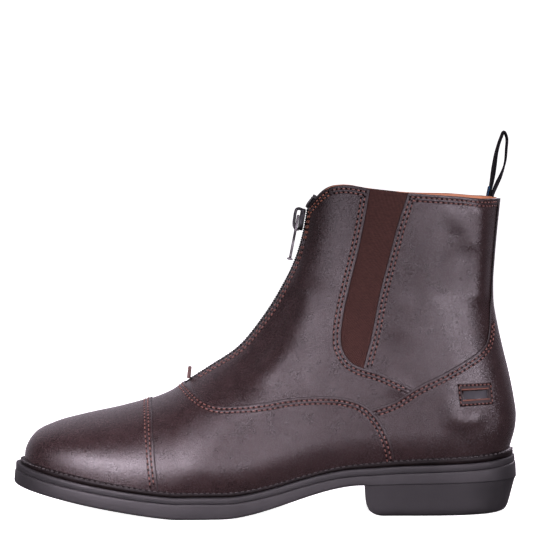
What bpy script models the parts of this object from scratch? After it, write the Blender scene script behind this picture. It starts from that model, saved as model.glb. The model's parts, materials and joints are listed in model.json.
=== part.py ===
"""Left jodhpur boot: leather upper with a front zip and elastic side gussets, on a welted rubber sole.

The toe points to -X, the outer side of the foot to -Y, and the sole stands on the floor at Z = 0.
The origin is under the middle of the sole. Sizes are in millimetres, and meshes are made in metres.
"""

import math

import bmesh
import bpy
import numpy as np

MM = 0.001

# Driving sizes of the boot
SOLE_LENGTH = 282.0
BALL_WIDTH = 100.0
TOE_SPRING = 15.4
BREAST_HEIGHT = 17.2
HEEL_SEAT_HEIGHT = 18.9
WALL = 2.4
OVERLAY = 1.1
GAP = 0.3

# Places along the sole, from toe to heel
TOE_X = -SOLE_LENGTH / 2
HEEL_X = SOLE_LENGTH / 2
SPRING_START_X = -48.0
ARCH_START_X = -25.0
TREAD_FLAT_X = (-46.0, -27.0)
BREAST_X = 54.6
SPRING_CURVE = 1.28

# Sole outline and edge: shares of the length from the toe, outer and inner reach as shares of the
# ball width, then outsole and welt thickness
SOLE_COLUMNS = ("station", "outer", "inner", "outsole", "welt")
SOLE_ROWS = (
    (0.000, -0.040, 0.040, 7.8, 4.0),
    (0.014, 0.140, 0.210, 7.8, 4.0),
    (0.039, 0.250, 0.310, 7.8, 3.9),
    (0.082, 0.350, 0.400, 7.7, 3.8),
    (0.145, 0.435, 0.465, 7.8, 3.6),
    (0.216, 0.480, 0.495, 8.0, 3.5),
    (0.287, 0.500, 0.500, 8.3, 3.4),
    (0.351, 0.500, 0.480, 8.6, 3.2),
    (0.429, 0.475, 0.425, 8.2, 3.3),
    (0.500, 0.435, 0.360, 7.4, 3.4),
    (0.589, 0.385, 0.305, 6.1, 3.6),
    (0.677, 0.355, 0.295, 5.2, 3.7),
    (0.766, 0.345, 0.315, 6.0, 3.8),
    (0.855, 0.340, 0.330, 6.3, 3.8),
    (0.918, 0.305, 0.305, 6.7, 3.8),
    (0.961, 0.235, 0.235, 7.5, 3.8),
    (0.986, 0.145, 0.145, 8.3, 3.8),
    (1.000, 0.000, 0.000, 9.1, 3.8),
)

# Middle line of the upper over its sole, as a share of the ball width towards the inner side
RIDGE_SHIFT = ((0.0, 0.040), (0.2, 0.036), (0.45, 0.020), (0.62, 0.006), (0.75, 0.0), (1.0, 0.0))

# Side profiles of the upper: front from toe to collar, back from heel seat to collar. Each starts
# just over the welt, at these two places
UPPER_TOE_X = -134.2
UPPER_HEEL_X = 135.6
FRONT_COLUMNS = ("x", "z", "fullness")
FRONT_ROWS = (
    (-133.6, 34.0, 3.2),
    (-128.2, 42.6, 3.2),
    (-118.5, 47.6, 3.1),
    (-102.0, 52.3, 2.9),
    (-80.0, 57.1, 2.6),
    (-63.6, 61.6, 2.4),
    (-52.0, 66.3, 2.2),
    (-42.2, 72.8, 2.1),
    (-30.0, 80.6, 2.0),
    (-15.2, 90.6, 1.9),
    (-1.5, 106.9, 1.9),
    (10.2, 125.6, 1.9),
    (17.4, 140.7, 2.0),
    (21.6, 155.0, 2.0),
    (24.2, 169.6, 2.0),
)
BACK_ROWS = (
    (138.0, 39.4),
    (139.9, 47.0),
    (140.3, 54.0),
    (139.0, 63.5),
    (136.4, 76.5),
    (132.8, 91.0),
    (129.6, 105.0),
    (127.6, 116.5),
    (127.2, 127.0),
    (128.0, 141.0),
    (129.4, 157.0),
    (131.2, 173.2),
)
# Collar edge above the straight line from its front to its back, by share of its length
COLLAR_ROWS = (
    (0.00, 0.0),
    (0.03, 4.0),
    (0.08, 9.2),
    (0.12, 11.2),
    (0.17, 11.8),
    (0.32, 9.2),
    (0.50, 6.4),
    (0.75, 3.6),
    (1.00, 0.0),
)
COLLAR_REACH = 9.0
FEATHER_GAP = 0.6

# Cross-sections: widths of the foot part and of the shaft
UPPER_TO_SOLE_WIDTH = 0.94
FEATHER_TUCK = 0.07
TUCK_HEIGHT = 14.0
SHAFT_COLUMNS = ("level", "half_width", "widest_at")
SHAFT_ROWS = (
    (0.00, 31.0, 0.60),
    (0.50, 32.5, 0.58),
    (0.65, 32.8, 0.56),
    (0.80, 33.8, 0.54),
    (1.00, 35.5, 0.52),
)
SHAFT_ROUNDNESS = 0.92
SHAFT_BLEND = (0.30, 0.80)

# Openings and overlays of the upper, as seen from the side
ZIP_SLOT = 8.0
ZIP_BOTTOM_X = -40.5
ZIP_FRONT_SHARE = 0.3
GUSSET_COLUMNS = ("z", "front", "back")
GUSSET_ROWS = (
    (81.0, 55.6, 54.8),
    (83.0, 51.5, 55.4),
    (86.0, 46.4, 56.2),
    (91.0, 42.8, 57.5),
    (98.0, 41.5, 59.2),
    (108.0, 42.4, 61.8),
    (125.0, 45.8, 65.6),
    (147.0, 51.3, 70.6),
    (190.0, 60.6, 81.0),
)
TOE_CAP_ROWS = ((10.0, -59.0), (40.0, -62.2), (70.0, -63.4))
COUNTER_FRONT_ROWS = ((20.0, 71.5), (33.0, 70.5), (44.0, 67.6), (53.0, 63.0), (60.0, 57.0))
COUNTER_TOP_ROWS = (
    (50.0, 56.0),
    (60.0, 59.8),
    (72.0, 64.2),
    (81.0, 70.0),
    (96.4, 77.7),
    (108.0, 84.2),
    (118.0, 90.4),
    (124.0, 95.8),
    (127.0, 101.0),
    (140.0, 104.0),
)
OVERLAY_FOOT = 1.4

# Mesh density of the upper
RINGS = 24
COLUMNS = 44
RING_BIAS = 1.4
SNAP = 0.32

# Sole build
SOLE_POINTS = 56
WELT_SETBACK = 0.9
WELT_WIDTH = 15.0
OUTSOLE_ROWS = (("underside", 2.4, 0.0), ("edge", 0.4, 1.8))
HEEL_COLUMNS = ("drop", "back_inset", "side_inset", "breast")
HEEL_ROWS = (
    (0.00, 0.5, 0.5, 0.0),
    (0.45, 2.6, 1.2, 1.0),
    (0.77, 4.2, 1.7, 2.0),
    (0.94, 5.8, 2.6, 4.6),
    (1.00, 8.6, 4.6, 9.0),
)
HEEL_ARC_POINTS = 25
BREAST_BOW = 2.5
BREAST_POINTS = 3
INSOLE_THICKNESS = 3.5
INSOLE_GAP = 1.2

# Zip slider and its pull tab, set on the front line at this level of the upper
ZIP_PROUD = 0.8
ZIP_DEPTH = 1.8
SLIDER_LEVEL = 0.968
SLIDER_LENGTH = 12.0
SLIDER_WIDTH = 9.0
SLIDER_PLATE = 2.2
BAIL_INNER = 1.7
BAIL_OUTER = 2.9
BAIL_WIDTH = 2.4
BAIL_STEPS = 14
PULL_LENGTH = 24.0
PULL_WIDTH = 7.0
PULL_THICKNESS = 1.4
PULL_HANG_DEG = 11.0
PULL_HOLE_LENGTH = 4.6
PULL_HOLE_WIDTH = 3.8
PULL_BAR = 1.2
PULL_LIP = 2.6
PULL_LIP_LENGTH = 1.6

# Leather tab at the foot of the zip
END_TAB_LEVEL_X = -43.0
END_TAB_SIZE = (2.0, 8.0, 6.5)
END_TAB_LEAN_DEG = 6.0

# Webbing pull loop inside the back of the collar
LOOP_WIDTH = 10.0
LOOP_THICKNESS = 1.3
LOOP_POINTS = 34
LOOP_ROWS = (
    (123.6, 158.0),
    (123.9, 168.0),
    (124.8, 178.0),
    (126.4, 188.0),
    (128.2, 197.5),
    (131.0, 207.0),
    (134.2, 212.4),
    (136.4, 209.4),
    (136.6, 201.0),
    (135.9, 193.0),
    (133.0, 185.5),
    (128.8, 178.0),
    (126.3, 168.0),
    (125.9, 158.0),
)

COLOURS = {
    "leather": ((0.055, 0.030, 0.028), 0.42, 0.0),
    "elastic": ((0.060, 0.028, 0.024), 0.85, 0.0),
    "rubber": ((0.030, 0.028, 0.031), 0.60, 0.0),
    "insole": ((0.300, 0.140, 0.070), 0.70, 0.0),
    "webbing": ((0.008, 0.008, 0.010), 0.80, 0.0),
    "zip": ((0.012, 0.012, 0.013), 0.55, 0.0),
    "metal": ((0.060, 0.060, 0.065), 0.30, 1.0),
}


def column(rows, names, wanted, key="station"):
    """Pairs of the key column and the wanted column of a table."""
    return [(row[names.index(key)], row[names.index(wanted)]) for row in rows]


def smooth_curve(points, closed=False):
    """Cubic curve through points, called with shares of its chord length."""
    points = np.array(points, float)
    if closed:
        points = np.vstack([points, points[:1]])
    knots = np.concatenate([[0.0], np.cumsum(np.linalg.norm(np.diff(points, axis=0), axis=1))])
    knots /= knots[-1]
    spans = np.diff(knots)[:, None]
    slopes = np.diff(points, axis=0) / spans
    tangents = np.vstack([slopes[:1], slopes])
    tangents[1:-1] = (slopes[:-1] * spans[1:] + slopes[1:] * spans[:-1]) / (spans[:-1] + spans[1:])
    if closed:
        joint = (slopes[-1] * spans[0] + slopes[0] * spans[-1]) / (spans[0] + spans[-1])
        tangents[0] = tangents[-1] = joint

    def at(share):
        share = np.clip(np.asarray(share, float), 0.0, 1.0)
        i = np.clip(np.searchsorted(knots, share, side="right") - 1, 0, len(knots) - 2)
        span = spans[i, 0]
        t = ((share - knots[i]) / span)[..., None]
        span = span[..., None]
        return (
            points[i] * (1 + 2 * t) * (1 - t) ** 2
            + tangents[i] * span * t * (1 - t) ** 2
            + points[i + 1] * t * t * (3 - 2 * t)
            - tangents[i + 1] * span * t * t * (1 - t)
        )

    return at


def smooth_graph(pairs):
    """Smooth function through (place, value) pairs, level beyond its ends."""
    samples = smooth_curve(pairs)(np.linspace(0.0, 1.0, 600))
    return lambda place: np.interp(place, samples[:, 0], samples[:, 1])


def smoothstep(low, high, value):
    t = np.clip((np.asarray(value, float) - low) / (high - low), 0.0, 1.0)
    return t * t * (3 - 2 * t)


# Sole surfaces as functions of x


def station(x):
    return (np.asarray(x, float) - TOE_X) / SOLE_LENGTH


OUTSOLE_THICKNESS = smooth_graph(column(SOLE_ROWS, SOLE_COLUMNS, "outsole"))
WELT_THICKNESS = smooth_graph(column(SOLE_ROWS, SOLE_COLUMNS, "welt"))


def sole_underside(x):
    """Height of the outsole's underside: toe spring, flat tread, arch, then the heel seat."""
    x = np.asarray(x, float)
    spring = np.clip((SPRING_START_X - x) / (SPRING_START_X - TOE_X), 0.0, None) ** SPRING_CURVE
    arch = smoothstep(ARCH_START_X, BREAST_X, x)
    seat = np.clip((x - BREAST_X) / (HEEL_X - BREAST_X), 0.0, None)
    return TOE_SPRING * spring + BREAST_HEIGHT * arch + (HEEL_SEAT_HEIGHT - BREAST_HEIGHT) * seat


def outsole_top(x):
    return sole_underside(x) + OUTSOLE_THICKNESS(station(x))


def welt_top(x):
    return outsole_top(x) + WELT_THICKNESS(station(x))


def outline_curve():
    """Closed plan outline of the sole, from the toe round the outer side."""
    outer = [(TOE_X + s * SOLE_LENGTH, -y * BALL_WIDTH) for s, y, *_ in SOLE_ROWS]
    inner = [(TOE_X + s * SOLE_LENGTH, y * BALL_WIDTH) for s, _, y, *_ in SOLE_ROWS[-2:0:-1]]
    return smooth_curve(outer + inner, closed=True)


def outline_reach():
    """Outer and inner reach of the sole from the x axis, as functions of x."""
    points = outline_curve()(np.linspace(0.0, 1.0, 4000))
    heel = int(np.argmax(points[:, 0]))
    outer, inner = points[: heel + 1], points[heel:][::-1]
    outer = outer[np.argsort(outer[:, 0])]
    inner = inner[np.argsort(inner[:, 0])]
    return (
        lambda x: -np.interp(x, outer[:, 0], outer[:, 1]),
        lambda x: np.interp(x, inner[:, 0], inner[:, 1]),
    )


OUTER_REACH, INNER_REACH = outline_reach()


def outline_ring(inset, count=SOLE_POINTS):
    """Plan points of the sole outline, moved in by inset, closer together round toe and heel.

    Two stations sit at the ends of the flat part of the tread.
    """
    turn = 2 * math.pi * np.arange(count) / count
    x = TOE_X + SOLE_LENGTH * (1 - np.cos(turn)) / 2
    for end in TREAD_FLAT_X:
        nearest = int(np.argmin(np.abs(x[: count // 2] - end)))
        x[[nearest, -nearest]] = end
    y = np.where(turn <= math.pi, -OUTER_REACH(x), INNER_REACH(x))
    points = np.column_stack([x, y])
    along = np.roll(points, -1, axis=0) - np.roll(points, 1, axis=0)
    normal = np.column_stack([-along[:, 1], along[:, 0]])
    return points + inset * normal / np.linalg.norm(normal, axis=1)[:, None]


# The upper as one function of a turn round the leg and a level from sole to collar



def feather(x):
    """Height of the upper's lower edge."""
    return welt_top(x) + FEATHER_GAP


TOE_FOOT = (UPPER_TOE_X, float(feather(UPPER_TOE_X)))
HEEL_FOOT = (UPPER_HEEL_X, float(feather(UPPER_HEEL_X)))
FRONT_LINE = smooth_curve([TOE_FOOT] + [(x, z) for x, z, _ in FRONT_ROWS])
BACK_LINE = smooth_curve([HEEL_FOOT] + list(BACK_ROWS))
COLLAR_RISE = smooth_graph(COLLAR_ROWS)
SHAFT_HALF_WIDTH = smooth_graph(column(SHAFT_ROWS, SHAFT_COLUMNS, "half_width", "level"))
SHAFT_WIDEST_AT = smooth_graph(column(SHAFT_ROWS, SHAFT_COLUMNS, "widest_at", "level"))
FULLNESS = smooth_graph(column(FRONT_ROWS, FRONT_COLUMNS, "fullness", "x"))
RIDGE_Y = smooth_graph([(s, y * BALL_WIDTH) for s, y in RIDGE_SHIFT])
# Over the collar the front line runs on upwards, so that the shaft's front stays round
OVER_COLLAR = ((27.0, 200.0), (33.0, 260.0), (45.0, 400.0), (70.0, 900.0))
RIDGE_POINTS = np.vstack([FRONT_LINE(np.linspace(0.0, 1.0, 8000)), OVER_COLLAR])


def ridge_height(x):
    return np.interp(x, RIDGE_POINTS[:, 0], RIDGE_POINTS[:, 1])


def upper_station(x):
    return np.clip((x - UPPER_TOE_X) / (UPPER_HEEL_X - UPPER_TOE_X), 0.0, 1.0)


def foot_half_width(side, share, x, z, back_x):
    """Half width of the foot part at a point of the side view: plan outline times arched section."""
    plan = share**2 * (UPPER_HEEL_X - back_x) + x
    s = upper_station(plan)
    sole_x = TOE_X + s * SOLE_LENGTH
    edge = np.where(side < 0, OUTER_REACH(sole_x), INNER_REACH(sole_x)) * UPPER_TO_SOLE_WIDTH
    half = np.clip(edge - side * RIDGE_Y(s), 0.0, None)
    height = np.clip(z - feather(x), 0.0, None)
    tuck = FEATHER_TUCK * (1 - np.clip(height / TUCK_HEIGHT, 0.0, 1.0)) ** 2
    rise = np.clip(height / np.clip(ridge_height(x) - feather(x), 0.001, None), 0.0, 1.0)
    return half * (1 - tuck) * np.sqrt(1 - rise ** FULLNESS(x))


def shaft_half_width(share, level):
    """Half width of the shaft: an oval, widest a little behind its middle."""
    skew = math.log(0.5) / np.log(SHAFT_WIDEST_AT(level))
    place = np.clip(share, 0.0, 1.0) ** skew
    return SHAFT_HALF_WIDTH(level) * (2 * np.sqrt(place * (1 - place))) ** SHAFT_ROUNDNESS


def skin(turn, level):
    """Outer surface of the upper. Turn is 0 at the front, negative on the outer side, 0.5 at the back."""
    turn, level = np.broadcast_arrays(np.asarray(turn, float), np.asarray(level, float))
    side = np.where(np.sin(2 * math.pi * turn) < 0, -1.0, 1.0)
    share = (1 - np.cos(2 * math.pi * turn)) / 2
    level_in = np.clip(level, 0.0, 1.0)
    front, back = FRONT_LINE(level_in), BACK_LINE(level_in)
    x = front[..., 0] + share * (back[..., 0] - front[..., 0])
    z = front[..., 1] + share * (back[..., 1] - front[..., 1])
    low_x = UPPER_TOE_X + share * (UPPER_HEEL_X - UPPER_TOE_X)
    low_z = TOE_FOOT[1] + share * (HEEL_FOOT[1] - TOE_FOOT[1])
    z = z + (feather(low_x) - low_z) * (1 - level_in) ** 3
    z = z + COLLAR_RISE(share) * level_in**COLLAR_REACH
    blend = smoothstep(*SHAFT_BLEND, level_in)
    half = (1 - blend) * foot_half_width(side, share, x, z, back[..., 0])
    half = half + blend * shaft_half_width(share, level_in)
    return np.stack([x, RIDGE_Y(upper_station(x)) + side * half, z], axis=-1)


def skin_normal(turn, level):
    """Outward unit normals of the skin, from differences on both sides of each point."""
    step = 0.002
    across = skin(turn + step, level) - skin(turn - step, level)
    up = skin(turn, np.minimum(level + step, 1.0)) - skin(turn, np.maximum(level - step, 0.0))
    normal = np.cross(up, across)
    return normal / np.linalg.norm(normal, axis=-1)[..., None]


def lifted_skin(turn, level, lift):
    return skin(turn, level) + lift * skin_normal(turn, level)


# Sheets: parts of the skin, cut by signed functions and thickened


def whole_sheet():
    """Grid of (turn, level) points over the whole skin, and its faces."""
    levels = (np.arange(RINGS + 1) / RINGS) ** RING_BIAS
    turns = np.arange(COLUMNS) / COLUMNS - 0.5
    places = np.array([(t, v) for v in levels for t in turns])
    faces = [
        (k * COLUMNS + j, k * COLUMNS + (j + 1) % COLUMNS,
         (k + 1) * COLUMNS + (j + 1) % COLUMNS, (k + 1) * COLUMNS + j)
        for k in range(RINGS)
        for j in range(COLUMNS)
    ]
    return places, faces


def between(places, i, j, share):
    """Place on the way from point i to point j, the short way round the leg."""
    turn = (places[j, 0] - places[i, 0] + 0.5) % 1.0 - 0.5
    return np.array([
        (places[i, 0] + share * turn + 0.5) % 1.0 - 0.5,
        places[i, 1] + share * (places[j, 1] - places[i, 1]),
    ])


def cut(sheet, keep):
    """The part of a sheet where keep is positive. Points near the cut move onto it first."""
    places, faces = sheet
    places = places.copy()
    value = keep(places[:, 0], places[:, 1])
    edges = {tuple(sorted((f[k - 1], f[k]))) for f in faces for k in range(len(f))}
    nearest = {}
    for i, j in sorted(edges):
        if value[i] * value[j] < 0:
            share = value[i] / (value[i] - value[j])
            for a, b, way in ((i, j, share), (j, i, 1 - share)):
                if way < SNAP and way < nearest.get(a, (1.0,))[0]:
                    nearest[a] = (way, between(places, a, b, way))
    for i, (_, place) in nearest.items():
        places[i] = place
        value[i] = 0.0
    points, new, kept = list(places), {}, []
    for face in faces:
        loop = []
        for a, b in zip(face, face[1:] + face[:1]):
            if value[a] >= 0:
                loop.append(a)
            if value[a] * value[b] < 0:
                edge = tuple(sorted((a, b)))
                if edge not in new:
                    share = value[edge[0]] / (value[edge[0]] - value[edge[1]])
                    new[edge] = len(points)
                    points.append(between(places, *edge, share))
                loop.append(new[edge])
        if len(loop) > 2 and any(value[i] > 0 for i in loop if i < len(value)):
            kept.append(tuple(loop))
    return tidy(np.array(points), kept)


def tidy(places, faces):
    """A sheet with only the points that its faces use."""
    used = sorted({i for f in faces for i in f})
    number = {old: new for new, old in enumerate(used)}
    return places[used], [tuple(number[i] for i in f) for f in faces]


def thicken(sheet, outer, inner):
    """Closed solid between two lifts of the skin over a sheet: points and faces."""
    places, faces = sheet
    points = np.vstack([lifted_skin(places[:, 0], places[:, 1], lift) for lift in (outer, inner)])
    count = len(places)
    directed = {(f[k - 1], f[k]) for f in faces for k in range(len(f))}
    rim = [(j, i, i + count, j + count) for i, j in sorted(directed) if (j, i) not in directed]
    back = [tuple(i + count for i in reversed(f)) for f in faces]
    return points, list(faces) + back + rim


# Cuts in the upper, each positive inside its piece


def inside_zip(turn, level):
    p = skin(turn, level)
    share = (1 - np.cos(2 * math.pi * turn)) / 2
    return np.minimum.reduce([
        ZIP_SLOT / 2 - np.abs(p[:, 1] - RIDGE_Y(upper_station(p[:, 0]))),
        p[:, 0] - ZIP_BOTTOM_X,
        (ZIP_FRONT_SHARE - share) * SOLE_LENGTH,
    ])


GUSSET_FRONT = smooth_graph(column(GUSSET_ROWS, GUSSET_COLUMNS, "front", "z"))
GUSSET_BACK = smooth_graph(column(GUSSET_ROWS, GUSSET_COLUMNS, "back", "z"))


def inside_gusset(turn, level):
    p = skin(turn, level)
    return np.minimum(p[:, 0] - GUSSET_FRONT(p[:, 2]), GUSSET_BACK(p[:, 2]) - p[:, 0])


TOE_CAP_EDGE = smooth_graph(TOE_CAP_ROWS)
COUNTER_FRONT = smooth_graph(COUNTER_FRONT_ROWS)
COUNTER_TOP = smooth_graph(COUNTER_TOP_ROWS)


def above_welt(turn, level):
    p = skin(turn, level)
    return p[:, 2] - welt_top(p[:, 0]) - OVERLAY_FOOT


def inside_toe_cap(turn, level):
    p = skin(turn, level)
    return TOE_CAP_EDGE(p[:, 2]) - p[:, 0]


def inside_counter(turn, level):
    p = skin(turn, level)
    return np.minimum(p[:, 0] - COUNTER_FRONT(p[:, 2]), COUNTER_TOP(p[:, 0]) - p[:, 2])


# Building Blender objects


def clear_scene():
    for obj in list(bpy.data.objects):
        bpy.data.objects.remove(obj, do_unlink=True)


def material(name):
    found = bpy.data.materials.get(name)
    if found:
        return found
    colour, roughness, metallic = COLOURS[name]
    made = bpy.data.materials.new(name)
    made.use_nodes = True
    shader = made.node_tree.nodes["Principled BSDF"]
    shader.inputs["Base Color"].default_value = (*colour, 1.0)
    shader.inputs["Roughness"].default_value = roughness
    shader.inputs["Metallic"].default_value = metallic
    return made


def add_object(name, points, faces, finish):
    """Mesh object from points in millimetres, shaded smooth, with its faces turned out."""
    mesh = bpy.data.meshes.new(name)
    mesh.from_pydata([tuple(p) for p in np.asarray(points, float) * MM], [], faces)
    work = bmesh.new()
    work.from_mesh(mesh)
    bmesh.ops.recalc_face_normals(work, faces=work.faces[:])
    work.to_mesh(mesh)
    work.free()
    mesh.shade_smooth()
    mesh.set_sharp_from_angle(angle=math.radians(40))
    mesh.materials.append(material(finish))
    obj = bpy.data.objects.new(name, mesh)
    bpy.context.scene.collection.objects.link(obj)
    return obj


def bridge(lower, upper, count):
    """Quads between two closed loops of count points, given by their first indices."""
    return [(lower + j, lower + (j + 1) % count, upper + (j + 1) % count, upper + j) for j in range(count)]


def cross_faces(first, count):
    """Strips across a closed loop that is ordered down one side and back up the other."""
    half = count // 2
    strips = [(first, first + 1, first + count - 1)]
    strips += [(first + j, first + j + 1, first + count - j - 1, first + count - j) for j in range(1, half - 1)]
    return strips + [(first + half - 1, first + half, first + half + 1)]


def loop_solid(loops):
    """Solid of stacked sole loops, closed by strips across the first and the last."""
    count = len(loops[0])
    faces = cross_faces(0, count) + cross_faces((len(loops) - 1) * count, count)
    for k in range(len(loops) - 1):
        faces += bridge(k * count, (k + 1) * count, count)
    return np.vstack(loops), faces


def sole_loop(inset, height, lift=0.0):
    """Sole outline moved in by inset, at the height that a function of x gives."""
    plan = outline_ring(inset)
    return np.column_stack([plan, height(plan[:, 0]) + lift])


def add_outsole():
    """Rubber sole with a rounded lower edge, a ledge for the welt and a raised middle inside it."""
    loops = [sole_loop(inset, sole_underside, lift) for _, inset, lift in OUTSOLE_ROWS]
    loops.append(sole_loop(0.0, outsole_top, -0.9))
    loops.append(sole_loop(0.5, outsole_top))
    loops.append(sole_loop(WELT_WIDTH + GAP, outsole_top))
    loops.append(sole_loop(WELT_WIDTH + GAP, welt_top))
    return add_object("outsole", *loop_solid(loops), "rubber")


def add_welt():
    """Strip between outsole and upper, showing all round."""
    loops = [
        sole_loop(WELT_SETBACK, outsole_top, GAP),
        sole_loop(WELT_SETBACK, welt_top, -0.8),
        sole_loop(WELT_SETBACK + 0.7, welt_top),
        sole_loop(WELT_WIDTH, welt_top),
        sole_loop(WELT_WIDTH, outsole_top, GAP),
    ]
    count = len(loops[0])
    faces = [f for k in range(len(loops)) for f in bridge(k * count, (k + 1) % len(loops) * count, count)]
    return add_object("welt", np.vstack(loops), faces, "rubber")


def heel_loop(drop, back_inset, side_inset, breast):
    """Heel outline at one level: round the back from the outer breast corner, then across the breast."""
    front_x, back_x = BREAST_X + breast, HEEL_X - back_inset
    way = np.sin(math.pi * np.linspace(0.0, 1.0, HEEL_ARC_POINTS))
    x = front_x + (back_x - front_x) * way
    side = np.where(np.arange(HEEL_ARC_POINTS) <= HEEL_ARC_POINTS // 2, -1.0, 1.0)
    full_x = front_x + (HEEL_X - front_x) * way
    reach = np.where(side < 0, OUTER_REACH(full_x), INNER_REACH(full_x))
    y = side * np.clip(reach - side_inset * np.cos(math.pi / 2 * way**4), 0.0, None)
    across = np.linspace(0.0, 1.0, BREAST_POINTS + 2)[1:-1]
    bow_x = front_x + BREAST_BOW * 4 * across * (1 - across)
    bow_y = y[-1] + across * (y[0] - y[-1])
    plan = np.column_stack([np.concatenate([x, bow_x]), np.concatenate([y, bow_y])])
    top = sole_underside(np.maximum(plan[:, 0], BREAST_X)) - GAP
    return np.column_stack([plan, top * (1 - drop)])


def add_heel():
    """Rubber heel block, tapered to a flat foot with rounded edges."""
    loops = [heel_loop(*row) for row in HEEL_ROWS]
    count = len(loops[0])
    faces = [tuple(range(count)), tuple(range((len(loops) - 1) * count, len(loops) * count))]
    for k in range(len(loops) - 1):
        faces += bridge(k * count, (k + 1) * count, count)
    return add_object("heel", np.vstack(loops), faces, "rubber")


def add_insole():
    """Insole on the raised middle of the outsole, inside the wall of the upper."""
    turn = np.arange(SOLE_POINTS) / SOLE_POINTS
    plan = lifted_skin(-turn, np.zeros(SOLE_POINTS), -WALL - INSOLE_GAP)
    base = feather(plan[:, 0])
    loops = [np.column_stack([plan[:, :2], base + lift]) for lift in (0.0, INSOLE_THICKNESS)]
    return add_object("insole", *loop_solid(loops), "insole")


def add_upper_pieces():
    """The hollow upper and the pieces that follow its surface."""
    whole = whole_sheet()
    opened = cut(whole, lambda t, v: -inside_zip(t, v))
    opened = cut(opened, lambda t, v: -inside_gusset(t, v))
    add_object("upper", *thicken(opened, 0.0, -WALL), "leather")
    gussets = cut(whole, lambda t, v: inside_gusset(t, v) - GAP)
    for name, side in (("gusset_outer", -1), ("gusset_inner", 1)):
        panel = cut(gussets, lambda t, v, side=side: side * skin(t, v)[:, 1])
        add_object(name, *thicken(panel, -0.5, -WALL + 0.4), "elastic")
    zip_strip = cut(whole, lambda t, v: inside_zip(t, v) - GAP)
    add_object("zip", *thicken(zip_strip, ZIP_PROUD, -ZIP_DEPTH), "zip")
    overlays = cut(whole, above_welt)
    for name, inside in (("toe_cap", inside_toe_cap), ("heel_counter", inside_counter)):
        add_object(name, *thicken(cut(overlays, inside), GAP + OVERLAY, GAP), "leather")


def front_frame(level):
    """Point, outward normal and upward tangent of the front line at a level, as 3-D vectors."""
    point = skin(np.array([0.0]), np.array([level]))[0]
    normal = skin_normal(np.array([0.0]), np.array([level]))[0]
    normal = np.array([normal[0], 0.0, normal[2]]) / np.hypot(normal[0], normal[2])
    return point, normal, np.array([normal[2], 0.0, -normal[0]])


def box_points(centre, axes, sizes):
    """Eight corners of a box and its faces."""
    signs = [(i, j, k) for i in (-0.5, 0.5) for j in (-0.5, 0.5) for k in (-0.5, 0.5)]
    points = [centre + sum(s * size * axis for s, size, axis in zip(sign, sizes, axes)) for sign in signs]
    faces = [(0, 1, 3, 2), (4, 6, 7, 5), (0, 4, 5, 1), (2, 3, 7, 6), (0, 2, 6, 4), (1, 5, 7, 3)]
    return np.array(points), faces


def add_bevel(obj, width):
    bevel = obj.modifiers.new("edge", "BEVEL")
    bevel.width = width * MM
    bevel.segments = 2
    bevel.limit_method = "ANGLE"
    bevel.angle_limit = math.radians(40)


def add_boolean(obj, other, operation):
    """Boolean with a helper that isn't itself a piece."""
    other.hide_render = True
    other.display_type = "WIRE"
    boolean = obj.modifiers.new(operation.lower(), "BOOLEAN")
    boolean.operation = operation
    boolean.object = other


def bail_points(hinge, out, up):
    """Half ring over the hinge, standing on the slider plate: points and faces."""
    foot = BAIL_OUTER + 0.6
    turns = np.linspace(0.0, math.pi, BAIL_STEPS)
    profile = []
    for radius in (BAIL_INNER, BAIL_OUTER):
        arc = [radius * (math.cos(t) * up + math.sin(t) * out) for t in turns]
        profile.append([arc[0] - foot * out] + arc + [arc[-1] - foot * out])
    across = np.array([0.0, BAIL_WIDTH / 2, 0.0])
    count = len(profile[0])
    points = [hinge + p + s * across for s in (-1, 1) for line in profile for p in line]
    faces = []
    for k in range(count - 1):
        faces.append((k, k + 1, count + k + 1, count + k))
        faces.append((2 * count + k, 3 * count + k, 3 * count + k + 1, 2 * count + k + 1))
        faces.append((k, 2 * count + k, 2 * count + k + 1, k + 1))
        faces.append((count + k, count + k + 1, 3 * count + k + 1, 3 * count + k))
    faces += [(k, count + k, 3 * count + k, 2 * count + k) for k in (0, count - 1)]
    return np.array(points), faces


def add_slider():
    """Zip slider on the chain, with a bail. Returns the hinge point of the pull tab."""
    point, out, up = front_frame(SLIDER_LEVEL)
    across = np.array([0.0, 1.0, 0.0])
    seat = ZIP_PROUD + GAP
    plate = point + (seat + SLIDER_PLATE / 2) * out
    hinge = point + (seat + SLIDER_PLATE + PULL_THICKNESS) * out + 1.5 * up
    slider = add_object("zip_slider", *box_points(plate, (out, across, up),
                                                  (SLIDER_PLATE, SLIDER_WIDTH, SLIDER_LENGTH)), "metal")
    add_bevel(slider, 0.7)
    bail = add_object("bail_helper", *bail_points(hinge, out, up), "metal")
    add_boolean(slider, bail, "UNION")
    return hinge


def add_pull(hinge):
    """Pull tab hanging on the bail: a flat bar with an eye at its top and a lip at its foot."""
    turn = math.radians(PULL_HANG_DEG)
    along = np.array([-math.sin(turn), 0.0, -math.cos(turn)])
    face = np.array([-math.cos(turn), 0.0, math.sin(turn)])
    across = np.array([0.0, 1.0, 0.0])

    def bar(name, start, end, width, thickness):
        centre = (start + end) / 2 * along
        return add_object(name, *box_points(centre, (along, across, face), (end - start, width, thickness)), "metal")

    pull = bar("zip_pull", -PULL_BAR / 2, PULL_LENGTH, PULL_WIDTH, PULL_THICKNESS)
    add_bevel(pull, 0.35)
    eye = bar("pull_eye_helper", PULL_BAR / 2, PULL_BAR / 2 + PULL_HOLE_LENGTH, PULL_HOLE_WIDTH, 2 * PULL_LIP)
    add_boolean(pull, eye, "DIFFERENCE")
    lip = bar("pull_lip_helper", PULL_LENGTH - PULL_LIP_LENGTH, PULL_LENGTH + 0.4, PULL_WIDTH - 1.0, PULL_LIP)
    add_bevel(lip, 0.35)
    add_boolean(pull, lip, "UNION")
    for obj in (pull, eye, lip):
        obj.location = tuple(hinge * MM)


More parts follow.
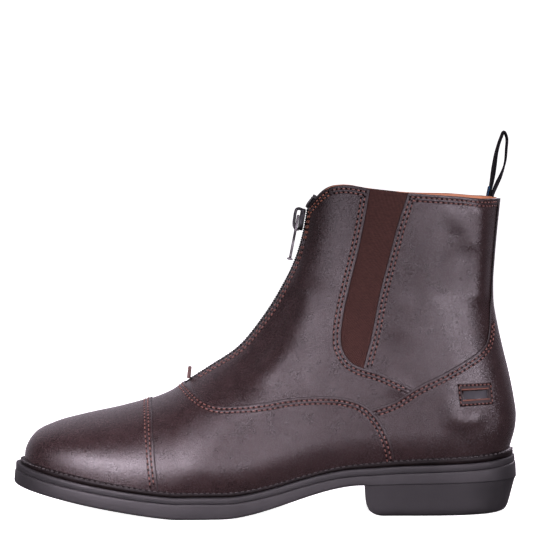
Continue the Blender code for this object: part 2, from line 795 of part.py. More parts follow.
def add_end_tab():
    """Small leather tab that stands up at the foot of the zip."""
    levels = np.linspace(0.0, 1.0, 2000)
    line = FRONT_LINE(levels)
    level = float(np.interp(END_TAB_LEVEL_X, line[:, 0], levels))
    point, _, _ = front_frame(level)
    turn = math.radians(END_TAB_LEAN_DEG)
    up = np.array([math.sin(turn), 0.0, math.cos(turn)])
    ahead = np.array([math.cos(turn), 0.0, -math.sin(turn)])
    across = np.array([0.0, 1.0, 0.0])
    seat = END_TAB_SIZE[0] / 2 + GAP
    centre = point + (END_TAB_SIZE[2] / 2 + seat) * up
    tab = add_object("zip_end_tab", *box_points(centre, (ahead, across, up), END_TAB_SIZE), "leather")
    add_bevel(tab, 0.5)


def add_pull_loop():
    """Loop of flat webbing, its ends side by side inside the back of the collar."""
    line = smooth_curve(LOOP_ROWS)(np.linspace(0.0, 1.0, LOOP_POINTS))
    along = np.gradient(line, axis=0)
    normal = np.column_stack([-along[:, 1], along[:, 0]]) / np.linalg.norm(along, axis=1)[:, None]
    points = []
    for side, face in ((-1, 1), (1, 1), (1, -1), (-1, -1)):
        edge = line + face * LOOP_THICKNESS / 2 * normal
        points.append(np.column_stack([edge[:, 0], np.full(LOOP_POINTS, side * LOOP_WIDTH / 2), edge[:, 1]]))
    faces = []
    for k in range(4):
        first, second = k * LOOP_POINTS, (k + 1) % 4 * LOOP_POINTS
        faces += [(first + j, second + j, second + j + 1, first + j + 1) for j in range(LOOP_POINTS - 1)]
    faces += [tuple(k * LOOP_POINTS + end for k in range(4)) for end in (0, LOOP_POINTS - 1)]
    add_object("pull_loop", np.vstack(points), faces, "webbing")


def main():
    clear_scene()
    add_outsole()
    add_welt()
    add_heel()
    add_insole()
    add_upper_pieces()
    add_pull(add_slider())
    add_end_tab()
    add_pull_loop()


main()
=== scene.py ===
"""Looks of the jodhpur boot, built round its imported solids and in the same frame.

The toe points to -X, the outer side of the foot to -Y, and the sole stands on the floor at Z = 0.
Sizes are in millimetres, and meshes are made in metres.
"""

import json
import math

import bpy
import numpy as np
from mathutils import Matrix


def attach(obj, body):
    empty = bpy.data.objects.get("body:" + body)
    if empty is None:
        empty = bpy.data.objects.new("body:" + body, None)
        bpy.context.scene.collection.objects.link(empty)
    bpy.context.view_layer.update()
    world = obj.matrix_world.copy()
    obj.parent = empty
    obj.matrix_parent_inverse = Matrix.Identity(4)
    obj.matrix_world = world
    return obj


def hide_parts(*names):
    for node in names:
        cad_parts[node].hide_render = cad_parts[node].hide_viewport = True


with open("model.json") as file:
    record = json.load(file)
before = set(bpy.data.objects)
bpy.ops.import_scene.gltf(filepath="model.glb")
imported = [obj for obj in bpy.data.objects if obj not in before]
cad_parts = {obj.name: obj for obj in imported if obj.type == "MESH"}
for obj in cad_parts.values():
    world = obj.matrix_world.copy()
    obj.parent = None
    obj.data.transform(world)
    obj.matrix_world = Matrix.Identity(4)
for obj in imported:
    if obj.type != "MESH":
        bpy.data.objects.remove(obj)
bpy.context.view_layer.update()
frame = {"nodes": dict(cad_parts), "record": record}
MM = 0.001
OUTER, INNER = -1, 1
BOTH_SIDES = (OUTER, INNER)

# Sole and upper, with the sizes of the solids
SOLE_LENGTH = 282.0
BALL_WIDTH = 100.0
TOE_SPRING = 15.4
BREAST_HEIGHT = 17.2
HEEL_SEAT_HEIGHT = 18.9
GAP = 0.3
TOE_X = -SOLE_LENGTH / 2
HEEL_X = SOLE_LENGTH / 2
SPRING_START_X = -48.0
ARCH_START_X = -25.0
BREAST_X = 54.6
SPRING_CURVE = 1.28

# Sole outline and edge: shares of the length from the toe, outer and inner reach as shares of the
# ball width, then outsole and welt thickness
SOLE_ROWS = (
    (0.000, -0.040, 0.040, 7.8, 4.0),
    (0.014, 0.140, 0.210, 7.8, 4.0),
    (0.039, 0.250, 0.310, 7.8, 3.9),
    (0.082, 0.350, 0.400, 7.7, 3.8),
    (0.145, 0.435, 0.465, 7.8, 3.6),
    (0.216, 0.480, 0.495, 8.0, 3.5),
    (0.287, 0.500, 0.500, 8.3, 3.4),
    (0.351, 0.500, 0.480, 8.6, 3.2),
    (0.429, 0.475, 0.425, 8.2, 3.3),
    (0.500, 0.435, 0.360, 7.4, 3.4),
    (0.589, 0.385, 0.305, 6.1, 3.6),
    (0.677, 0.355, 0.295, 5.2, 3.7),
    (0.766, 0.345, 0.315, 6.0, 3.8),
    (0.855, 0.340, 0.330, 6.3, 3.8),
    (0.918, 0.305, 0.305, 6.7, 3.8),
    (0.961, 0.235, 0.235, 7.5, 3.8),
    (0.986, 0.145, 0.145, 8.3, 3.8),
    (1.000, 0.000, 0.000, 9.1, 3.8),
)
RIDGE_SHIFT = ((0.0, 0.040), (0.2, 0.036), (0.45, 0.020), (0.62, 0.006), (0.75, 0.0), (1.0, 0.0))

# Side profiles of the upper: front with the fullness of its section, back, and the collar edge
UPPER_TOE_X = -134.2
UPPER_HEEL_X = 135.6
FRONT_ROWS = (
    (-133.6, 34.0, 3.2),
    (-128.2, 42.6, 3.2),
    (-118.5, 47.6, 3.1),
    (-102.0, 52.3, 2.9),
    (-80.0, 57.1, 2.6),
    (-63.6, 61.6, 2.4),
    (-52.0, 66.3, 2.2),
    (-42.2, 72.8, 2.1),
    (-30.0, 80.6, 2.0),
    (-15.2, 90.6, 1.9),
    (-1.5, 106.9, 1.9),
    (10.2, 125.6, 1.9),
    (17.4, 140.7, 2.0),
    (21.6, 155.0, 2.0),
    (24.2, 169.6, 2.0),
)
BACK_ROWS = (
    (138.0, 39.4),
    (139.9, 47.0),
    (140.3, 54.0),
    (139.0, 63.5),
    (136.4, 76.5),
    (132.8, 91.0),
    (129.6, 105.0),
    (127.6, 116.5),
    (127.2, 127.0),
    (128.0, 141.0),
    (129.4, 157.0),
    (131.2, 173.2),
)
COLLAR_ROWS = (
    (0.00, 0.0),
    (0.03, 4.0),
    (0.08, 9.2),
    (0.12, 11.2),
    (0.17, 11.8),
    (0.32, 9.2),
    (0.50, 6.4),
    (0.75, 3.6),
    (0.92, 1.5),
    (1.00, 1.4),
)
COLLAR_REACH = 9.0

# Lower edge of the upper: its gap over the welt, its width beside the sole's, and how far it is tucked in
FEATHER_GAP = 0.6
UPPER_TO_SOLE_WIDTH = 0.94
FEATHER_TUCK = ((0.0, 0.02), (0.24, 0.02), (0.36, 0.09), (0.75, 0.11), (1.0, 0.10))
TUCK_HEIGHT = 18.0

# Shaft: levels with half width and the share of the way back where it is widest, its roundness, the
# levels between which the foot turns into it, and where the front line would run on above the collar
SHAFT_ROWS = (
    (0.00, 31.0, 0.60),
    (0.50, 32.5, 0.58),
    (0.65, 32.8, 0.56),
    (0.80, 33.8, 0.54),
    (1.00, 35.5, 0.52),
)
SHAFT_ROUNDNESS = 0.92
SHAFT_BLEND = (0.30, 0.80)
OVER_COLLAR = ((27.0, 188.0), (33.0, 240.0), (45.0, 380.0), (70.0, 800.0))

# Panel edges as seen from the side. Each panel lies to the right of its edge, going along it
TOE_CAP_EDGE = ((-63.4, 61.7), (-62.4, 56.1), (-61.6, 47.3), (-60.5, 37.2), (-59.4, 27.4), (-58.5, 18.3))
VAMP_EDGE = (
    (-44.6, 71.2), (-42.0, 69.3), (-38.9, 66.6), (-33.2, 62.8), (-27.6, 60.9), (-13.8, 61.1),
    (2.8, 63.2), (11.1, 64.8), (22.1, 65.9), (33.2, 66.3), (44.2, 65.2), (52.4, 62.5),
    (57.9, 58.7), (63.4, 52.2), (68.0, 43.2), (70.9, 33.1), (71.6, 28.0),
)
COUNTER_EDGE = (
    (48.0, 55.0), (57.9, 58.7), (71.8, 63.8), (81.1, 69.8), (85.6, 72.4), (96.5, 77.7),
    (107.8, 83.9), (118.1, 90.3), (122.2, 94.4), (124.1, 100.3), (124.9, 109.7), (125.4, 118.0),
    (126.4, 132.0), (127.5, 146.0), (128.8, 160.0), (129.9, 171.8),
)
QUARTER_EDGE = (
    (57.3, 179.7), (55.1, 165.8), (51.3, 146.7), (45.9, 124.3), (42.6, 108.0), (41.7, 99.7),
    (42.0, 94.2), (44.2, 88.7), (48.0, 84.3), (54.1, 81.6), (60.7, 79.7), (69.1, 76.4),
    (79.1, 71.5), (88.0, 66.5),
)
BACK_QUARTER_EDGE = (
    (52.0, 70.0), (54.5, 83.3), (57.9, 96.5), (63.2, 123.5), (68.0, 142.7), (72.8, 161.2), (78.2, 177.8),
)
ZIP_HALF_SLOT = 3.3
ZIP_SHARE = 0.4
FAR_AWAY = 60.0
UNDERLAP = 6.0
GUSSET_UNDERLAP = 5.0
LINING_OVERLAP = 3.0

# Heights of the panels over the skin: next to the edge, away from it, and their thickness
PANEL_THICKNESS = 0.45
BACK_QUARTER_LIFT = -0.55
FRONT_QUARTER_LIFT = 0.0
COUNTER_LIFT = 0.5
VAMP_LIFT = (1.0, 0.5)
TOE_CAP_LIFT = (1.3, 0.95)
LIFT_FADE = 9.0
GUSSET_LIFT = -1.1
LINING_LIFT = (-1.75, -2.4)
EDGE_ROUND = 0.5
EDGE_DROP = 0.35

# Stitching
STITCH_PITCH = 2.95
STITCH_ROWS = (2.0, 4.05)
ROW_STAGGER = 0.35
THREAD_RADIUS = 0.3
HOLE_RADIUS = 0.66

# Mesh density of the upper
UPPER_COLUMNS = 520
UPPER_RINGS = 190
RING_BIAS = 1.15
SNAP = 0.32
SEAM_SAMPLES = 420
SEAM_RUN_ON = 14.0
SEAM_RUN_ON_POINTS = 28
SEAM_CHUNK = 6000
SEAM_SLIDE = 0.6
OUTLINE_SAMPLES = 4000
RIDGE_SAMPLES = 12000
LOCATE_GRID = (141, 161)
LOCATE_ROUNDS = 8

# Soft folds of the leather: side, side-view line, width and height
FOLD_SAMPLES = 40
FOLD_FADE = 7.0
FOLDS = (
    (OUTER, ((-10.0, 82.0), (0.0, 93.0), (9.0, 106.0), (15.0, 118.0)), 6.0, -1.3),
    (OUTER, ((4.0, 80.0), (13.0, 92.0), (21.0, 105.0), (26.0, 122.0)), 8.0, 1.1),
    (OUTER, ((119.0, 166.0), (119.0, 150.0), (118.5, 136.0), (118.5, 122.0)), 6.0, 1.8),
    (OUTER, ((103.0, 166.0), (109.0, 158.0), (114.0, 150.0)), 4.5, 0.4),
    (OUTER, ((106.0, 153.0), (106.5, 146.0)), 6.0, -0.6),
    (OUTER, ((104.0, 138.0), (101.0, 124.0)), 7.0, -0.6),
    (OUTER, ((76.0, 116.0), (73.0, 104.0)), 7.0, 0.6),
    (OUTER, ((-34.0, 30.0), (-28.0, 40.0), (-20.0, 50.0)), 9.0, 0.7),
    (OUTER, ((100.0, 70.0), (99.5, 66.0), (101.0, 62.0)), 5.0, 0.8),
    (OUTER, ((105.0, 54.0), (110.0, 53.0), (115.0, 54.0)), 6.5, 1.7),
    (OUTER, ((72.0, 70.5), (76.5, 69.4)), 4.5, 0.7),
    (INNER, ((-8.0, 84.0), (2.0, 95.0), (10.0, 108.0)), 6.0, -1.1),
    (INNER, ((5.0, 82.0), (14.0, 94.0), (22.0, 108.0)), 8.0, 1.0),
    (INNER, ((118.0, 150.0), (117.0, 130.0), (118.0, 110.0)), 5.0, -1.2),
    (INNER, ((104.0, 150.0), (103.0, 132.0), (100.0, 118.0)), 6.0, 0.7),
)

# Camera, in metres
CAMERA_PLACE = (0.00084, -1.5, 0.193)
CAMERA_TILT = math.radians(2.1661)
CAMERA_LENS = 181.0
CAMERA_SENSOR = 36.0


# Curves and small helpers


def smooth_curve(points, closed=False, knots=None):
    """Cubic curve through points, called with shares of its chord length or of given knots."""
    points = np.array(points, float)
    if closed:
        points = np.vstack([points, points[:1]])
    if knots is None:
        knots = arc_length(points)
    knots = (knots - knots[0]) / (knots[-1] - knots[0])
    spans = np.diff(knots)[:, None]
    slopes = np.diff(points, axis=0) / spans
    tangents = np.vstack([slopes[:1], slopes])
    tangents[1:-1] = (slopes[:-1] * spans[1:] + slopes[1:] * spans[:-1]) / (spans[:-1] + spans[1:])
    if closed:
        joint = (slopes[-1] * spans[0] + slopes[0] * spans[-1]) / (spans[0] + spans[-1])
        tangents[0] = tangents[-1] = joint

    def at(share):
        share = np.clip(np.asarray(share, float), 0.0, 1.0)
        i = np.clip(np.searchsorted(knots, share, side="right") - 1, 0, len(knots) - 2)
        span = spans[i, 0]
        t = ((share - knots[i]) / span)[..., None]
        span = span[..., None]
        return (
            points[i] * (1 + 2 * t) * (1 - t) ** 2
            + tangents[i] * span * t * (1 - t) ** 2
            + points[i + 1] * t * t * (3 - 2 * t)
            - tangents[i + 1] * span * t * t * (1 - t)
        )

    return at


def smooth_graph(pairs):
    """Smooth function through (place, value) pairs, level beyond its ends."""
    places, values = np.array(pairs, float).T
    curve = smooth_curve(values[:, None], knots=places)
    return lambda place: curve((np.asarray(place) - places[0]) / (places[-1] - places[0]))[..., 0]


def graphs(rows):
    """Smooth functions of the rows' first number, one for each of the others."""
    return [smooth_graph([(row[0], row[k]) for row in rows]) for k in range(1, len(rows[0]))]


def smoothstep(low, high, value):
    t = np.clip((np.asarray(value, float) - low) / (high - low), 0.0, 1.0)
    return t * t * (3 - 2 * t)


def unit(vectors):
    return vectors / np.maximum(np.linalg.norm(vectors, axis=-1), 1e-9)[..., None]


def arc_length(points):
    return np.concatenate([[0.0], np.cumsum(np.linalg.norm(np.diff(points, axis=0), axis=1))])


def along_line(values, length, at):
    """Rows of values, given at lengths along a line, at other lengths along it."""
    return np.column_stack([np.interp(at, length, column) for column in values.T])


# Sole surfaces as functions of x

OUTSOLE_THICKNESS, WELT_THICKNESS = graphs(SOLE_ROWS)[2:]


def sole_underside(x):
    """Height of the outsole's underside: toe spring, flat tread, arch, then the heel seat."""
    x = np.asarray(x, float)
    spring = np.clip((SPRING_START_X - x) / (SPRING_START_X - TOE_X), 0.0, None) ** SPRING_CURVE
    arch = smoothstep(ARCH_START_X, BREAST_X, x)
    seat = np.clip((x - BREAST_X) / (HEEL_X - BREAST_X), 0.0, None)
    return TOE_SPRING * spring + BREAST_HEIGHT * arch + (HEEL_SEAT_HEIGHT - BREAST_HEIGHT) * seat


def outsole_top(x):
    return sole_underside(x) + OUTSOLE_THICKNESS((x - TOE_X) / SOLE_LENGTH)


def welt_top(x):
    return outsole_top(x) + WELT_THICKNESS((x - TOE_X) / SOLE_LENGTH)


def outline_reach():
    """Outer and inner reach of the sole from the x axis, as functions of x."""
    outer = [(TOE_X + row[0] * SOLE_LENGTH, -row[1] * BALL_WIDTH) for row in SOLE_ROWS]
    inner = [(TOE_X + row[0] * SOLE_LENGTH, row[2] * BALL_WIDTH) for row in SOLE_ROWS[-2:0:-1]]
    points = smooth_curve(outer + inner, closed=True)(np.linspace(0.0, 1.0, OUTLINE_SAMPLES))
    heel = int(np.argmax(points[:, 0]))
    outer, inner = points[: heel + 1], points[heel:][::-1]
    outer = outer[np.argsort(outer[:, 0])]
    inner = inner[np.argsort(inner[:, 0])]
    return (
        lambda x: -np.interp(x, outer[:, 0], outer[:, 1]),
        lambda x: np.interp(x, inner[:, 0], inner[:, 1]),
    )


OUTER_REACH, INNER_REACH = outline_reach()


def outline_ring(inset, count):
    """Plan points of the sole outline, moved in by inset, from the toe round the outer side."""
    turn = 2 * math.pi * np.arange(count) / count
    x = TOE_X + SOLE_LENGTH * (1 - np.cos(turn)) / 2
    y = np.where(turn <= math.pi, -OUTER_REACH(x), INNER_REACH(x))
    points = np.column_stack([x, y])
    along = np.roll(points, -1, axis=0) - np.roll(points, 1, axis=0)
    normal = np.column_stack([-along[:, 1], along[:, 0]])
    return points + inset * unit(normal)


# The upper as one function of a turn round the leg and a level from sole to collar


def feather(x):
    """Height of the upper's lower edge."""
    return welt_top(x) + FEATHER_GAP


TOE_FOOT = (UPPER_TOE_X, float(feather(UPPER_TOE_X)))
HEEL_FOOT = (UPPER_HEEL_X, float(feather(UPPER_HEEL_X)))
FRONT_LINE = smooth_curve([TOE_FOOT] + [(x, z) for x, z, _ in FRONT_ROWS])
BACK_LINE = smooth_curve([HEEL_FOOT] + list(BACK_ROWS))
COLLAR_RISE = smooth_graph(COLLAR_ROWS)
SHAFT_HALF_WIDTH, SHAFT_WIDEST_AT = graphs(SHAFT_ROWS)
FULLNESS = graphs(FRONT_ROWS)[1]
RIDGE_Y = smooth_graph([(s, y * BALL_WIDTH) for s, y in RIDGE_SHIFT])
TUCK = smooth_graph(FEATHER_TUCK)
RIDGE_LINE = smooth_curve([TOE_FOOT] + [(x, z) for x, z, _ in FRONT_ROWS] + list(OVER_COLLAR))
RIDGE_POINTS = RIDGE_LINE(np.linspace(0.0, 1.0, RIDGE_SAMPLES))


def ridge_height(x):
    return np.interp(x, RIDGE_POINTS[:, 0], RIDGE_POINTS[:, 1])


def upper_station(x):
    return np.clip((x - UPPER_TOE_X) / (UPPER_HEEL_X - UPPER_TOE_X), 0.0, 1.0)


def ridge_y(x):
    return RIDGE_Y(upper_station(x))


def foot_half_width(side, share, x, z, back_x):
    """Half width of the foot part at a point of the side view: plan outline times arched section."""
    plan = share**2 * (UPPER_HEEL_X - back_x) + x
    s = upper_station(plan)
    sole_x = TOE_X + s * SOLE_LENGTH
    edge = np.where(side < 0, OUTER_REACH(sole_x), INNER_REACH(sole_x)) * UPPER_TO_SOLE_WIDTH
    half = np.clip(edge - side * RIDGE_Y(s), 0.0, None)
    height = np.clip(z - feather(x), 0.0, None)
    tuck = TUCK(s) * (1 - np.clip(height / TUCK_HEIGHT, 0.0, 1.0)) ** 2
    rise = np.clip(height / np.clip(ridge_height(x) - feather(x), 0.001, None), 0.0, 1.0)
    return half * (1 - tuck) * np.sqrt(1 - rise ** FULLNESS(x))


def shaft_half_width(share, level):
    """Half width of the shaft: an oval, widest a little behind its middle."""
    skew = math.log(0.5) / np.log(SHAFT_WIDEST_AT(level))
    place = np.clip(share, 0.0, 1.0) ** skew
    return SHAFT_HALF_WIDTH(level) * (2 * np.sqrt(place * (1 - place))) ** SHAFT_ROUNDNESS


def share_of(turn):
    """Share of the way back, from a turn round the leg."""
    return (1 - np.cos(2 * math.pi * turn)) / 2


def side_of(turn):
    return np.where(np.sin(2 * math.pi * turn) < 0, OUTER, INNER)


def skin(turn, level):
    """Outer surface of the upper. Turn is 0 at the front, negative on the outer side, 0.5 at the back."""
    turn, level = np.broadcast_arrays(np.asarray(turn, float), np.asarray(level, float))
    side, share = side_of(turn), share_of(turn)
    level_in = np.clip(level, 0.0, 1.0)
    front, back = FRONT_LINE(level_in), BACK_LINE(level_in)
    x = front[..., 0] + share * (back[..., 0] - front[..., 0])
    z = front[..., 1] + share * (back[..., 1] - front[..., 1])
    low_x = UPPER_TOE_X + share * (UPPER_HEEL_X - UPPER_TOE_X)
    low_z = TOE_FOOT[1] + share * (HEEL_FOOT[1] - TOE_FOOT[1])
    z = z + (feather(low_x) - low_z) * (1 - level_in) ** 3
    z = z + COLLAR_RISE(share) * level_in**COLLAR_REACH
    blend = smoothstep(*SHAFT_BLEND, level_in)
    half = (1 - blend) * foot_half_width(side, share, x, z, back[..., 0])
    half = half + blend * shaft_half_width(share, level_in)
    return np.stack([x, ridge_y(x) + side * half, z], axis=-1)


def skin_slopes(turn, level, step=0.002):
    """Change of the skin per turn and per level."""
    across = (skin(turn + step, level) - skin(turn - step, level)) / (2 * step)
    high, low = np.minimum(level + step, 1.0), np.maximum(level - step, 0.0)
    up = (skin(turn, high) - skin(turn, low)) / (high - low)[..., None]
    return across, up


def skin_normal(turn, level):
    across, up = skin_slopes(turn, level)
    return unit(np.cross(up, across))


FOLD_WAY = np.linspace(0.0, 1.0, FOLD_SAMPLES)
FOLD_LINES = [(side, smooth_curve(line)(FOLD_WAY), width, height) for side, line, width, height in FOLDS]


def fold_height(points):
    """Height of the soft folds at points of the skin. They fade out towards the boot's middle plane."""
    total = np.zeros(len(points))
    away = points[:, 1] - ridge_y(points[:, 0])
    for side, line, width, height in FOLD_LINES:
        square = (points[:, 0:1] - line[:, 0]) ** 2 + (points[:, 2:3] - line[:, 1]) ** 2
        near = np.exp(-square.min(axis=1) / width**2)
        total += height * near * smoothstep(0.0, FOLD_FADE, side * away)
    return total


def surface(turn, level, lift):
    """Points on the leather at one or many heights over the skin, with the folds."""
    base = skin(turn, level)
    return base + (lift + fold_height(base))[:, None] * skin_normal(turn, level)


def turn_of(share, side):
    return side * np.arccos(1 - 2 * np.clip(share, 0.0, 1.0)) / (2 * math.pi)


def locate(points):
    """Share of the way back and level of side-view points on the skin."""
    shares, levels = (a.ravel() for a in np.meshgrid(*(np.linspace(0.0, 1.0, n) for n in LOCATE_GRID)))

    def side_view(share, level):
        return skin(turn_of(share, OUTER), level)[:, [0, 2]]

    known = side_view(shares, levels)
    points = np.asarray(points, float)
    first = np.argmin(((points[:, None, :] - known[None, :, :]) ** 2).sum(axis=2), axis=1)
    share, level = shares[first], levels[first]
    step = 0.001
    for _ in range(LOCATE_ROUNDS):
        here = side_view(share, level)
        by_share = (side_view(share + step, level) - side_view(share - step, level)) / (2 * step)
        by_level = (side_view(share, level + step) - side_view(share, level - step)) / (2 * step)
        miss = points - here
        scale = by_share[:, 0] * by_level[:, 1] - by_share[:, 1] * by_level[:, 0]
        scale = np.where(np.abs(scale) < 1e-6, 1e-6, scale)
        share = share + (miss[:, 0] * by_level[:, 1] - miss[:, 1] * by_level[:, 0]) / scale
        level = level + (by_share[:, 0] * miss[:, 1] - by_share[:, 1] * miss[:, 0]) / scale
        share, level = np.clip(share, 0.0, 1.0), np.clip(level, 0.0, 1.0)
    return share, level


class Seam:
    """A line on the skin of one side. Distances are positive to its right, seen from outside."""

    def __init__(self, turn, level, side):
        self.turn, self.level, self.side = turn, level, side
        self.points = skin(turn, level)
        self.along = unit(np.gradient(self.points, axis=0))
        self.right = -side * unit(np.cross(self.along, skin_normal(turn, level)))
        steps = np.linspace(0.5, SEAM_RUN_ON, SEAM_RUN_ON_POINTS)[:, None]
        before = self.points[0] - steps[::-1] * self.along[0]
        after = self.points[-1] + steps * self.along[-1]
        self.path = np.vstack([before, self.points, after])
        ends = ((SEAM_RUN_ON_POINTS, SEAM_RUN_ON_POINTS), (0, 0))
        self.path_along = np.pad(self.along, ends, mode="edge")
        self.path_right = np.pad(self.right, ends, mode="edge")

    def distance(self, points):
        """Signed distance of points from the line."""
        result = []
        for first in range(0, len(points), SEAM_CHUNK):
            part = points[first:first + SEAM_CHUNK]
            near = (self.path**2).sum(axis=1)[None, :] - 2 * part @ self.path.T
            i = np.argmin(near, axis=1)
            offset = part - self.path[i]
            slide = np.clip((offset * self.path_along[i]).sum(axis=1), -SEAM_SLIDE, SEAM_SLIDE)
            away = np.linalg.norm(offset - slide[:, None] * self.path_along[i], axis=1)
            result.append(np.where((offset * self.path_right[i]).sum(axis=1) < 0, -away, away))
        return np.concatenate(result)

    def beside(self, offset, steps=8):
        """Turn and level of the line moved to its right, in small steps along the skin."""
        turn, level = self.turn, self.level
        for _ in range(steps):
            across, up = skin_slopes(turn, level, 0.0008)
            normal = unit(np.cross(up, across))
            ahead = self.right - (self.right * normal).sum(axis=1)[:, None] * normal
            goal = offset / steps * unit(ahead)
            aa, uu, au = (across * across).sum(1), (up * up).sum(1), (across * up).sum(1)
            ga, gu = (goal * across).sum(1), (goal * up).sum(1)
            scale = aa * uu - au * au
            turn = turn + (ga * uu - gu * au) / scale
            level = np.clip(level + (gu * aa - ga * au) / scale, 0.0, 1.0)
        return turn, level


def edge_seam(edge, side):
    """Seam through side-view points."""
    share, level = locate(smooth_curve(edge)(np.linspace(0.0, 1.0, SEAM_SAMPLES)))
    return Seam(turn_of(share, side), level, side)


EDGES = {
    "cap": TOE_CAP_EDGE,
    "vamp": VAMP_EDGE,
    "counter": COUNTER_EDGE,
    "quarter": QUARTER_EDGE,
    "back": BACK_QUARTER_EDGE,
}
SEAMS = {(name, side): edge_seam(edge, side) for name, edge in EDGES.items() for side in BOTH_SIDES}

# Sheets: grids of (turn, level) with distances from the panel edges, cut to shape and thickened

COLUMN_NAMES = ("turn", "level") + tuple(EDGES) + ("zip", "collar")
COLUMN = {name: i for i, name in enumerate(COLUMN_NAMES)}


def whole_sheet(columns, rings):
    """Data of the grid points over the whole skin, and four corners of each face."""
    levels = (np.arange(rings + 1) / rings) ** RING_BIAS
    turns = np.arange(columns) / columns - 0.5
    turn, level = (a.ravel() for a in np.meshgrid(turns, levels))
    points = skin(turn, level)
    data = np.zeros((len(points), len(COLUMN_NAMES)))
    data[:, 0], data[:, 1] = turn, level
    for side in BOTH_SIDES:
        here = side_of(turn) == side
        for name in EDGES:
            data[here, COLUMN[name]] = SEAMS[name, side].distance(points[here])
    from_zip = np.abs(points[:, 1] - ridge_y(points[:, 0])) - ZIP_HALF_SLOT
    data[:, COLUMN["zip"]] = np.where(share_of(turn) < ZIP_SHARE, from_zip, FAR_AWAY)
    _, rise = skin_slopes(turn, np.ones_like(turn))
    data[:, COLUMN["collar"]] = (1 - level) * np.linalg.norm(rise, axis=1)
    k, j = (a.ravel() for a in np.meshgrid(np.arange(rings), np.arange(columns), indexing="ij"))
    first, after = k * columns + j, k * columns + (j + 1) % columns
    return data, np.column_stack([after, first, first + columns, after + columns])


def between(data, i, j, share):
    """Data on the way from point i to point j, the short way round the leg."""
    row = data[i] + share * (data[j] - data[i])
    turn = (data[j, 0] - data[i, 0] + 0.5) % 1.0 - 0.5
    row[0] = (data[i, 0] + share * turn + 0.5) % 1.0 - 0.5
    return row


def crossings(faces, value):
    """Pairs of joined points on opposite sides of a cut."""
    pairs = np.vstack([faces[:, [k, (k + 1) % 4]] for k in range(4)])
    return np.unique(np.sort(pairs[value[pairs[:, 0]] * value[pairs[:, 1]] < 0], axis=1), axis=0)


def clip_face(loop, value, corner, sign):
    """Corners of the part of a face on one side of a cut."""
    kept = []
    for a, b in zip(loop, loop[1:] + loop[:1]):
        if sign * value[a] >= 0:
            kept.append(a)
        if value[a] * value[b] < 0:
            kept.append(corner[(a, b) if a < b else (b, a)])
    return kept


def as_corners(loop):
    """Four-cornered rows for a face with three to six corners."""
    rows = []
    while len(loop) > 4:
        rows.append(loop[:4])
        loop = [loop[0]] + loop[3:]
    rows.append(loop + loop[-1:] * (4 - len(loop)))
    return rows


def cut(sheet, measure, split_only=False, snap=SNAP, locked=None):
    """The part of a sheet where measure is positive, or the whole sheet split along its zero line.

    Points near the line move onto it first, except locked ones.
    """
    data, faces = sheet
    data = data.copy()
    value = measure(data)
    held = locked(data) if locked else np.zeros(len(data), bool)
    nearest = {}
    for i, j in crossings(faces, value):
        share = value[i] / (value[i] - value[j])
        for a, b, way in ((i, j, share), (j, i, 1 - share)):
            if way < snap and not held[a] and way < nearest.get(a, (1.0,))[0]:
                nearest[a] = (way, b)
    moved = {a: between(data, a, b, way) for a, (way, b) in nearest.items()}
    for a, row in moved.items():
        data[a], value[a] = row, 0.0
    corner, rows = {}, []
    for i, j in crossings(faces, value):
        corner[(i, j)] = len(data) + len(rows)
        rows.append(between(data, i, j, value[i] / (value[i] - value[j])))
    at = value[faces]
    low, high = at.min(axis=1), at.max(axis=1)
    inside, outside = low >= 0, high <= 0
    pieces = [faces[inside | outside if split_only else inside & ~outside]]
    crossed = []
    for face in faces[(low < 0) & (high > 0)]:
        loop = list(dict.fromkeys(face.tolist()))
        for sign in (1, -1) if split_only else (1,):
            part = clip_face(loop, value, corner, sign)
            if len(part) > 2:
                crossed += as_corners(part)
    if crossed:
        pieces.append(np.array(crossed))
    if rows:
        data = np.vstack([data, rows])
    return compact(data, np.vstack(pieces))


def compact(data, faces):
    """A sheet with only the points that its faces use."""
    used, place = np.unique(faces, return_inverse=True)
    return data[used], place.reshape(faces.shape)


def edge_distance(data, edges):
    """Distance from the nearest of a panel's own edges."""
    return np.min([data[:, COLUMN[name]] for name in edges], axis=0)


def rounded(sheet, edges):
    """A panel's sheet with extra lines of points beside its edges, for a round edge."""
    for name in edges:
        for offset, snap in ((EDGE_ROUND, SNAP), (0.36 * EDGE_ROUND, 0.0)):
            sheet = cut(
                sheet,
                lambda d, name=name, offset=offset: d[:, COLUMN[name]] - offset,
                split_only=True,
                snap=snap,
                locked=lambda d: edge_distance(d, edges) < 0.01,
            )
    return sheet


def edge_drop(distance):
    """How far the surface falls towards a cut edge."""
    near = np.clip(1 - np.clip(distance, 0.0, None) / EDGE_ROUND, 0.0, 1.0)
    return EDGE_DROP * (1 - np.sqrt(1 - near**2))


def thicken(sheet, outer, inner):
    """Closed solid over a sheet between two heights, each a number or one for each point."""
    data, faces = sheet
    count = len(data)
    points = np.vstack([surface(data[:, 0], data[:, 1], lift) for lift in (outer, inner)])
    sides = np.vstack([faces[:, [k, (k + 1) % 4]] for k in range(4)])
    sides = sides[sides[:, 0] != sides[:, 1]]
    code = sides[:, 0] * count + sides[:, 1]
    open_sides = sides[~np.isin(code, sides[:, 1] * count + sides[:, 0])]
    start, end = open_sides.T
    rim = np.column_stack([end, start, start + count, end + count])
    return points, np.vstack([faces, faces[:, ::-1] + count, rim])


# Blender objects


def outward(points, faces):
    """Faces turned so that the solid's volume is positive."""
    a, b, c, d = (points[faces[:, k]] for k in range(4))
    volume = (a * np.cross(b, c)).sum() + (a * np.cross(c, d)).sum()
    return faces if volume > 0 else faces[:, ::-1]


